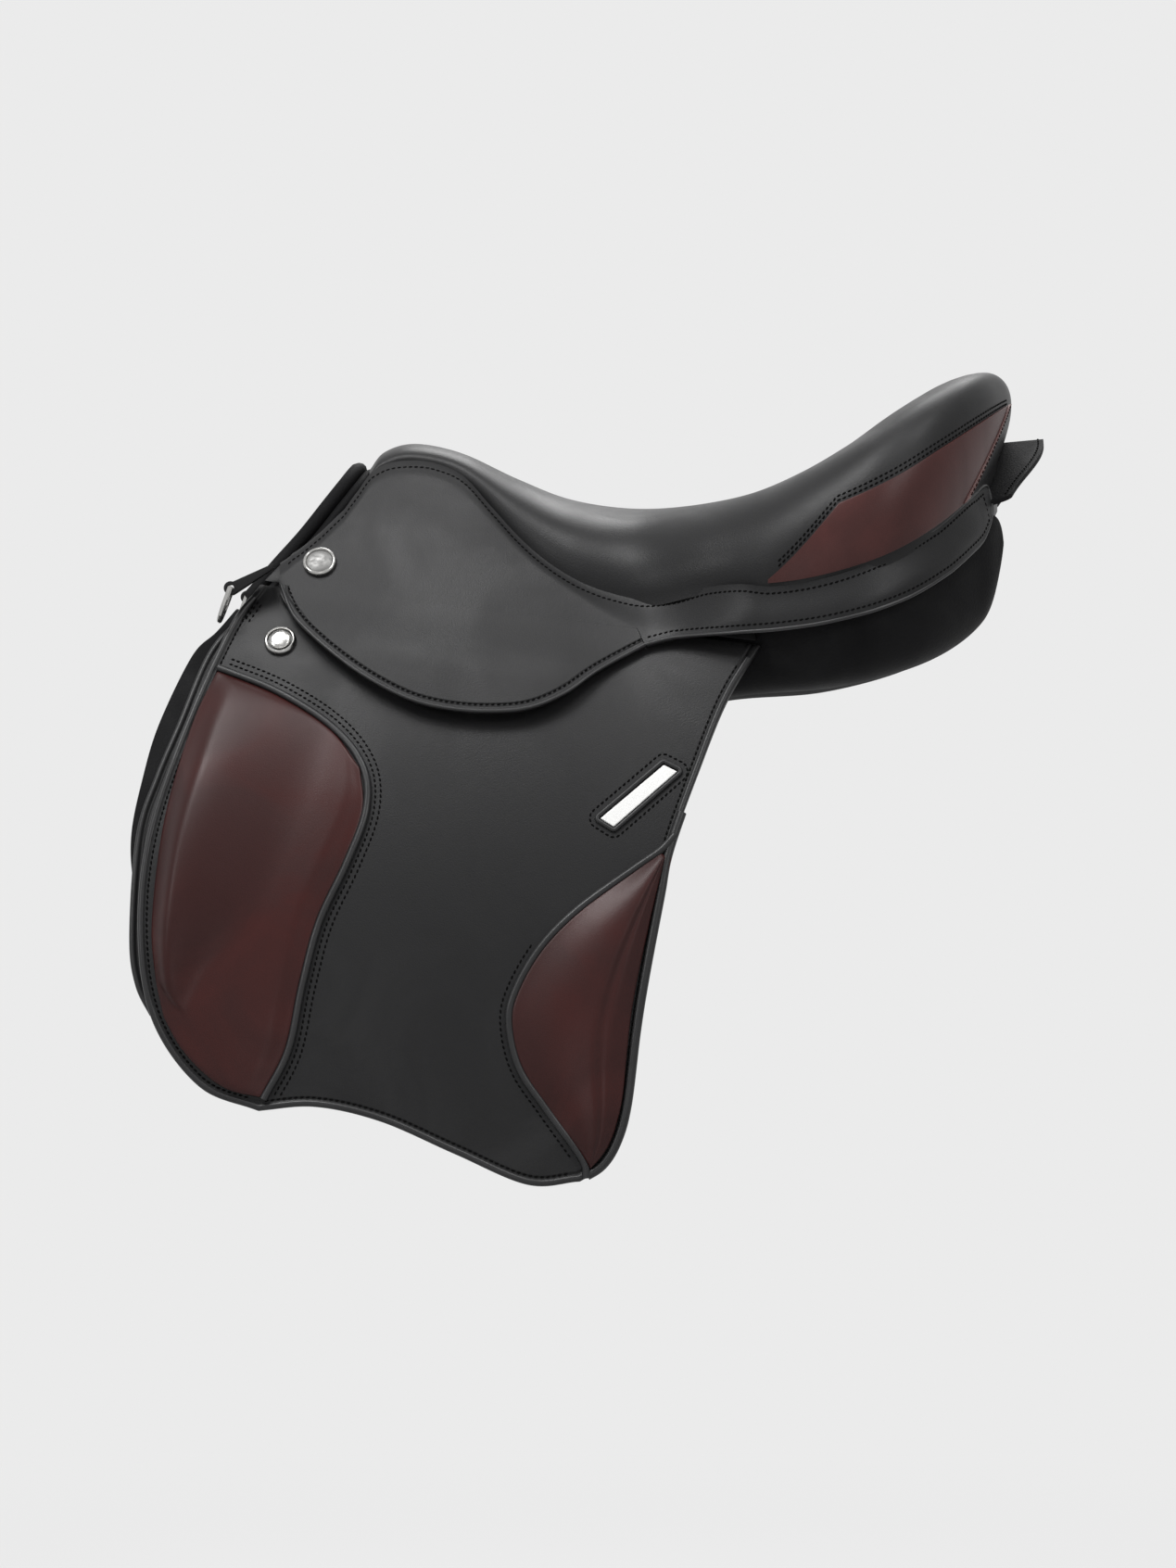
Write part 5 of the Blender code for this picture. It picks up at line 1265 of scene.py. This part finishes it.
def make_pads():
    """Knee and thigh pads with the bead and piping round them and the stitched rows beside them."""
    knee = coons(KNEE_FRONT, KNEE_REAR, KNEE_TOP, KNEE_BOTTOM)
    thigh = coons(THIGH_FRONT, THIGH_REAR, [THIGH_FRONT[0], THIGH_REAR[0]],
                  [THIGH_FRONT[-1], THIGH_REAR[-1]])
    for name, outline, columns, rows, height in (("knee", knee, 48, 90, knee_height),
                                                 ("thigh", thigh, 36, 64, thigh_height)):
        def face(u, v, sign):
            return on_side(*outline(u, v), PAD_BASE + height(u, v), sign)

        def back(u, v, sign):
            return on_side(*outline(u, v), PAD_BASE, sign)

        padded_pair(name + "_pad_{}_leather", columns, rows, face, back, PAD_CAP, MAROON,
                    "flap_{}")
    knee_rear = KNEE_TOP + KNEE_REAR[1:]
    for side, sign in SIDES:
        body = f"flap_{side}"
        line = beside(knee_rear, KNEE_BEAD_OUTSET)
        side_cord(f"knee_bead_{side}", line, CORD_DEPTH, KNEE_BEAD_RADIUS, sign, body)
        rows = [side_run(beside(knee_rear, outset, 0.015, end), sign) for outset, end in KNEE_ROWS]
        stitching(f"knee_stitches_{side}", rows, body, THREAD)
        line = beside(THIGH_PIPING, -THIGH_PIPING_OUTSET)
        side_cord(f"thigh_piping_{side}", line, CORD_DEPTH, THIGH_PIPING_RADIUS, sign, body)
        row = side_run(beside(THIGH_FRONT, -THIGH_ROW_OUTSET, 0.40, 0.98), sign)
        stitching(f"thigh_stitches_{side}", [row], body, THREAD)
        row = side_run(beside(THIGH_REAR, THIGH_REAR_ROW, 0.02, 0.97), sign, THIGH_REAR_ROW_DEPTH)
        stitching(f"thigh_rear_stitches_{side}", [row], body, THREAD)
        line = beside(THIGH_REAR, THIGH_LIP_OUTSET, 0.0, 0.24)
        side_cord(f"thigh_lip_{side}", line, THIGH_LIP_DEPTH, THIGH_LIP_RADIUS, sign, body, MAROON)
        line = beside(FLAP_REAR, -THIGH_BINDING_INSET, 0.325, 0.985)
        side_cord(f"thigh_binding_{side}", line, THIGH_BINDING_DEPTH, THIGH_BINDING_RADIUS, sign, body)


def around(corners, distance, steps=6):
    """A closed line round a convex outline, at a distance outside it and round at its corners."""
    middle = sum(corners, Vector((0.0, 0.0))) / len(corners)
    line = []
    for before, corner, after in zip(corners[-1:] + corners[:-1], corners, corners[1:] + corners[:1]):
        normals = []
        for first, second in ((before, corner), (corner, after)):
            along = (second - first).normalized()
            normal = Vector((-along.y, along.x))
            if normal.dot((first + second) / 2 - middle) < 0:
                normal.negate()
            normals.append(normal)
        for i in range(steps + 1):
            line.append(corner + normals[0].lerp(normals[1], i / steps).normalized() * distance)
    return line


def make_inlay(side, sign, body):
    """A plain white lozenge let into the flap, with a raised border and a row of stitches."""
    inlay = coons([INLAY[0], INLAY[3]], [INLAY[1], INLAY[2]], [INLAY[0], INLAY[1]], [INLAY[3], INLAY[2]])

    def place(u, v):
        return on_side(*inlay(u, v), INLAY_DEPTH, sign)

    item = leather_sheet(f"inlay_{side}", 12, 40, place, INLAY_THICKNESS, rounding=0.0006)
    dress(item, PALE, body, [f"flap_inlay_{side}"])
    corners = [Vector(corner) for corner in INLAY]
    line = around(corners, INLAY_BORDER_OUTSET)
    side_cord(f"inlay_border_{side}", line, INLAY_BORDER_DEPTH, INLAY_BORDER_RADIUS, sign, body,
              closed=True)
    row = around(corners, INLAY_ROW_OUTSET, 10)
    stitching(f"inlay_stitches_{side}", [side_run(row + row[:1], sign)], body, THREAD)


def make_under_side():
    """Soft front panels, rear panels, sweat flaps with their edges, and the two tubes of the head roll."""
    sweat = coons(SWEAT_FRONT, SWEAT_REAR, SWEAT_TOP, SWEAT_BOTTOM)
    wing = coons(WING_FRONT, WING_REAR, [WING_FRONT[0], WING_REAR[0]], [WING_FRONT[-1], WING_REAR[-1]])

    def wing_face(u, v, sign):
        return on_side(*wing(u, v), WING_DEPTH, sign)

    def wing_back(u, v, sign):
        full = math.sin(math.pi * min(max(u, 0.0), 1.0)) ** 0.7 * (4 * v * (1 - v)) ** 0.4
        return on_side(*wing(u, v), WING_BACK_DEPTH - WING_SWELL * full, sign)

    def panel(u, v, w, sign):
        along = (1 - math.cos(math.pi * u)) / 2
        v = (1 - math.cos(math.pi * v)) / 2
        x, inner_y, inner_z, outer_y, outer_z, thickness = spline(PANEL_STATIONS, along)
        across = Vector((0.0, outer_y - inner_y, outer_z - inner_z))
        up = Vector((0.0, -across.z, across.y)).normalized()
        full = (4 * v * (1 - v)) ** PANEL_CROWN * math.sqrt(1 - abs(2 * along - 1) ** PANEL_END)
        half = max(thickness / 2 * full, PANEL_RIM)
        point = Vector((x, inner_y, inner_z)) + across * v + up * w * half
        return Vector((point.x, sign * point.y, point.z))

    padded_pair("front_panel_{}_leather", 34, 70, wing_face, wing_back, PAD_CAP, SOFT,
                "saddle")
    padded_pair("panel_{}_leather", 110, 48, lambda u, v, sign: panel(u, v, 1.0, sign),
                lambda u, v, sign: panel(u, v, -1.0, sign), PANEL_CAP, SOFT,
                "saddle")
    for side, sign in SIDES:
        def sweat_face(u, v):
            return on_side(*sweat(u, v), SWEAT_DEPTH, sign)

        item = leather_sheet(f"sweat_flap_{side}_leather", 90, 80, sweat_face, SWEAT_THICKNESS)
        dress(item, BLACK, "saddle", [f"sweat_flap_{side}"])
        line = beside(SWEAT_FRONT, SWEAT_EDGE_OUTSET) + beside(SWEAT_BOTTOM, SWEAT_EDGE_OUTSET)
        side_cord(f"sweat_flap_edge_{side}", line, SWEAT_EDGE_DEPTH, SWEAT_EDGE_RADIUS, sign, "saddle")

    right = evenly(HEAD_ROLL)
    outer = [right(i / 60) for i in range(61)]
    item = tube("head_roll_leather", both_halves(outer), HEAD_ROLL_RADIUS)
    dress(item, SOFT, "saddle", ["panel_head_roll"])
    back, down = INNER_ROLL_SHIFT
    inner = [Vector((p.x + back, p.y * INNER_ROLL_SPREAD, p.z + down)) for p in outer]
    item = tube("head_roll_inner", both_halves(inner), INNER_ROLL_RADIUS)
    dress(item, SOFT, "saddle")


def make_cantle_back():
    """Leather over the back of the cantle, below the seat's seam."""

    def place(u, v):
        turn = math.radians(mix(90.0, CANTLE_BACK_ANGLE, u))
        x = RIM_X + (RIM_DEPTH + CANTLE_BACK_DEPTH) * math.sin(turn)
        top = height_at(SKIRT_TOP, x) + CANTLE_BACK_OVERLAP
        y = (RIM_HALF + CANTLE_BACK_DEPTH) * math.cos(turn)
        return Vector((x, y if u > 0 else 0.0, top - CANTLE_BACK_HEIGHT * v))

    item = middle_sheet("cantle_back", 60, 12, place, (1.0, 0.0, 0.0), CANTLE_BACK_THICKNESS)
    smooth(item, 50.0)
    dress(item, PLAIN_BLACK, "saddle")


def tongue_place(u, v):
    """The tongue from its middle round to where the strap covers it: v from the cantle out to its rim."""
    degrees = mix(90.0, TONGUE_HIDDEN_ANGLE, u)
    along = (90.0 - degrees) / (90.0 - TONGUE_END_ANGLE)
    turn = math.radians(degrees)
    depth = mix(*TONGUE_DEPTH, min(along, 1.0))
    reach = mix(*TONGUE_REACH, smoothstep(0.0, 1.0, along)) * (1 - smoothstep(0.98, 1.30, along)) * v
    x = RIM_X + (RIM_DEPTH + depth + reach) * math.sin(turn)
    y = (RIM_HALF + depth + reach) * math.cos(turn)
    z = mix(*TONGUE_Z, along) + mix(*TONGUE_RISE, along) * v + TONGUE_THICKNESS / 2
    return Vector((x, y if u > 0 else 0.0, z))


def make_tongue():
    """The stitched leather tongue behind the cantle."""
    item = middle_sheet("tongue_leather", 90, 16, tongue_place, (0.0, 0.0, 1.0), TONGUE_THICKNESS)
    apply_modifier(item, "BEVEL", width=0.0012, segments=3, limit_method="ANGLE",
                   angle_limit=math.radians(50))
    smooth(item, 50.0)
    dress(item, SOFT, "saddle", ["rear_tongue"])
    runs = []
    for up in (1.0, -1.0):
        half = []
        for i in range(61):
            u = i / 60 * TONGUE_ROW_END
            rim = tongue_place(u, 1.0) - tongue_place(u, 0.0)
            point = tongue_place(u, 1.0 - TONGUE_ROW_INSET / rim.length)
            half.append(point - Vector((0.0, 0.0, TONGUE_THICKNESS if up < 0 else 0.0)))
        runs.append([(point, Vector((0.0, 0.0, up))) for point in both_halves(half)])
    stitching("tongue_stitches", runs, "saddle", THREAD)


def refined(node, material, body, width):
    """A finer piece made from a copy of a node's solid: its points are joined and its edges rounded."""
    item = new_object(node + "_finish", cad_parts[node].data.copy())
    close_seams(item, 0.00001)
    bpy.ops.object.mode_set(mode="EDIT")
    bpy.ops.mesh.select_all(action="SELECT")
    bpy.ops.mesh.dissolve_limited(angle_limit=math.radians(1.5))
    bpy.ops.object.mode_set(mode="OBJECT")
    apply_modifier(item, "BEVEL", width=width, segments=2, limit_method="ANGLE",
                   angle_limit=math.radians(40))
    smooth(item, 35.0)
    return dress(item, material, body, [node])


def outer_place(tree, x, z, sign):
    """Place and normal on the outer face of a strap, or None beside it."""
    place, normal, _, _ = tree.ray_cast(Vector((x, sign * 0.5, z)), Vector((0.0, -sign, 0.0)))
    return (place, normal) if place else None


def make_strap_details(strap, sign):
    """A row of stitches along each edge of a girth strap, and from the tip up its punched holes, drawn as
    dark discs whose darkness is painted shade.
    """
    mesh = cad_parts[strap].data
    points = [point.co for point in mesh.vertices]
    tree = BVHTree.FromPolygons(points, [tuple(face.vertices) for face in mesh.polygons])
    low, high = min(p.z for p in points), max(p.z for p in points)
    left, right = min(p.x for p in points), max(p.x for p in points)

    def edges(z):
        across = [mix(left, right, k / STRAP_TRIES) for k in range(STRAP_TRIES + 1)]
        inside = [x for x in across if outer_place(tree, x, z, sign)]
        return inside[0], inside[-1]

    heights = [mix(low + STRAP_TIP, high - STRAP_TIP, i / STRAP_ROWS) for i in range(STRAP_ROWS + 1)]
    spans = [edges(z) for z in heights]
    runs = []
    for end, inset in ((0, STRAP_INSET), (1, -STRAP_INSET)):
        places = [outer_place(tree, span[end] + inset, z, sign) for z, span in zip(heights, spans)]
        runs.append([place for place in places if place])
    stitching(strap + "_stitches", runs, strap, THREAD)
    # Painted shade: dark discs in the black thread's colour stand where the holes are.
    hole_shades = []
    for i in range(HOLE_COUNT):
        z = low + HOLE_FIRST + HOLE_PITCH * i
        place, normal = outer_place(tree, sum(edges(z)) / 2, z, sign)
        hole_shades.append(turned(f"{strap}_hole_{i}", HOLE_SHADE_DISC, place, normal, 20))
    select_only(hole_shades[0])
    for item in hole_shades[1:]:
        item.select_set(True)
    bpy.ops.object.join()
    hole_shades[0].name = strap + "_holes"
    dress(hole_shades[0], THREAD, strap)


def finish_hidden_pieces():
    """Finer copies of the leather, webbing and foam pieces under the seat and the flaps."""
    refined("gullet_lining", SOFT, "saddle", 0.0006)
    for web in ("seat_webbing", "girth_web_front", "girth_web_rear"):
        refined(web, WEBBING, "saddle", 0.0004)
    refined("seat_foam", FOAM, "saddle", 0.0015)
    for side, sign in SIDES:
        for name, width in (("dee_chape", 0.0006), ("point_pocket", 0.0008), ("flap_root", 0.0006)):
            refined(f"{name}_{side}", PLAIN_BLACK, "saddle", width)
        guard = f"buckle_guard_{side}"
        refined(guard, PLAIN_BLACK, guard, 0.0010)
        for place in ("front", "middle", "rear"):
            strap = f"girth_strap_{place}_{side}"
            make_strap_details(strap, sign)
            refined(strap, PLAIN_BLACK, strap, 0.0007)


def keep_solids():
    """Materials for the CAD solids that stay in view."""
    looks = {"tree": TREE_PLASTIC, "gullet_plate": STEEL}
    for side, _ in SIDES:
        for name in ("stirrup_bar", "bar_rivet_front", "bar_rivet_rear", "stirrup_catch"):
            looks[f"{name}_{side}"] = STEEL
        looks[f"dee_ring_{side}"] = NICKEL
    for name, material in looks.items():
        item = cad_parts[name]
        item.data.materials.clear()
        item.data.materials.append(material)


def seen_ray(tree):
    """1 for rays that show the backdrop: from the camera, from gloss and through glass."""
    rays = tree.nodes.new("ShaderNodeLightPath")
    gloss = calculate(tree, "MAXIMUM", rays.outputs["Is Camera Ray"], rays.outputs["Is Glossy Ray"])
    return calculate(tree, "MAXIMUM", gloss, rays.outputs["Is Transmission Ray"])


def make_camera():
    camera = bpy.data.cameras.new("camera")
    camera.lens = CAMERA_LENS
    camera.sensor_width = 36.0
    camera.sensor_fit = "AUTO"
    stand = new_object("camera", camera)
    stand.location = CAMERA_PLACE
    stand.rotation_euler = (math.pi / 2, 0.0, 0.0)
    bpy.context.scene.camera = stand


def make_floor():
    """A pale floor that takes faint shadows near the saddle and shows the paper's tone further out."""
    bpy.ops.object.select_all(action="DESELECT")
    bpy.ops.mesh.primitive_plane_add(size=FLOOR_SIZE, location=(0.0, 0.0, FLOOR_Z))
    floor = bpy.context.object
    floor.name = "floor"
    paper = new_material("pale paper", STUDIO_GREY[:3], 0.9)
    tree = paper.node_tree
    shown = tree.nodes.new("ShaderNodeEmission")
    shown.inputs["Color"].default_value = PAPER
    distance = tree.nodes.new("ShaderNodeVectorMath")
    distance.operation = "LENGTH"
    tree.links.new(object_place(tree), distance.inputs[0])
    share = between(tree, distance.outputs["Value"], *FLOOR_FADE, SHADOW_SHARE, 1.0)
    blend = tree.nodes.new("ShaderNodeMixShader")
    tree.links.new(calculate(tree, "MULTIPLY", seen_ray(tree), share), blend.inputs["Fac"])
    tree.links.new(tree.nodes["Principled BSDF"].outputs["BSDF"], blend.inputs[1])
    tree.links.new(shown.outputs["Emission"], blend.inputs[2])
    tree.links.new(blend.outputs["Shader"], tree.nodes["Material Output"].inputs["Surface"])
    floor.data.materials.append(paper)


def make_world():
    """A dim grey world that shows the paper's tone to the camera."""
    world = bpy.data.worlds.new("studio")
    bpy.context.scene.world = world
    world.use_nodes = True
    nodes = world.node_tree.nodes
    links = world.node_tree.links
    plain = nodes["Background"]
    plain.inputs["Color"].default_value = STUDIO_GREY
    plain.inputs["Strength"].default_value = WORLD_STRENGTH
    shown = nodes.new("ShaderNodeBackground")
    shown.inputs["Color"].default_value = PAPER
    shown.inputs["Strength"].default_value = 1.0
    blend = nodes.new("ShaderNodeMixShader")
    links.new(seen_ray(world.node_tree), blend.inputs["Fac"])
    links.new(plain.outputs["Background"], blend.inputs[1])
    links.new(shown.outputs["Background"], blend.inputs[2])
    links.new(blend.outputs["Shader"], nodes["World Output"].inputs["Surface"])


def make_lamps():
    """Round area lamps, all turned to the saddle's middle."""
    for name, place, size, power in LAMPS:
        light = bpy.data.lights.new(name, "AREA")
        light.shape = "DISK"
        light.size = size
        light.energy = power
        lamp = new_object(name, light)
        lamp.location = place
        aim = Vector(LAMP_TARGET) - Vector(place)
        lamp.rotation_euler = aim.to_track_quat("-Z", "Y").to_euler()


make_camera()
make_floor()
make_world()
make_lamps()
bpy.context.scene.view_settings.view_transform = "Standard"
keep_solids()
make_seat()
make_inserts()
make_skirts()
make_flaps()
make_under_side()
make_cantle_back()
make_tongue()
finish_hidden_pieces()
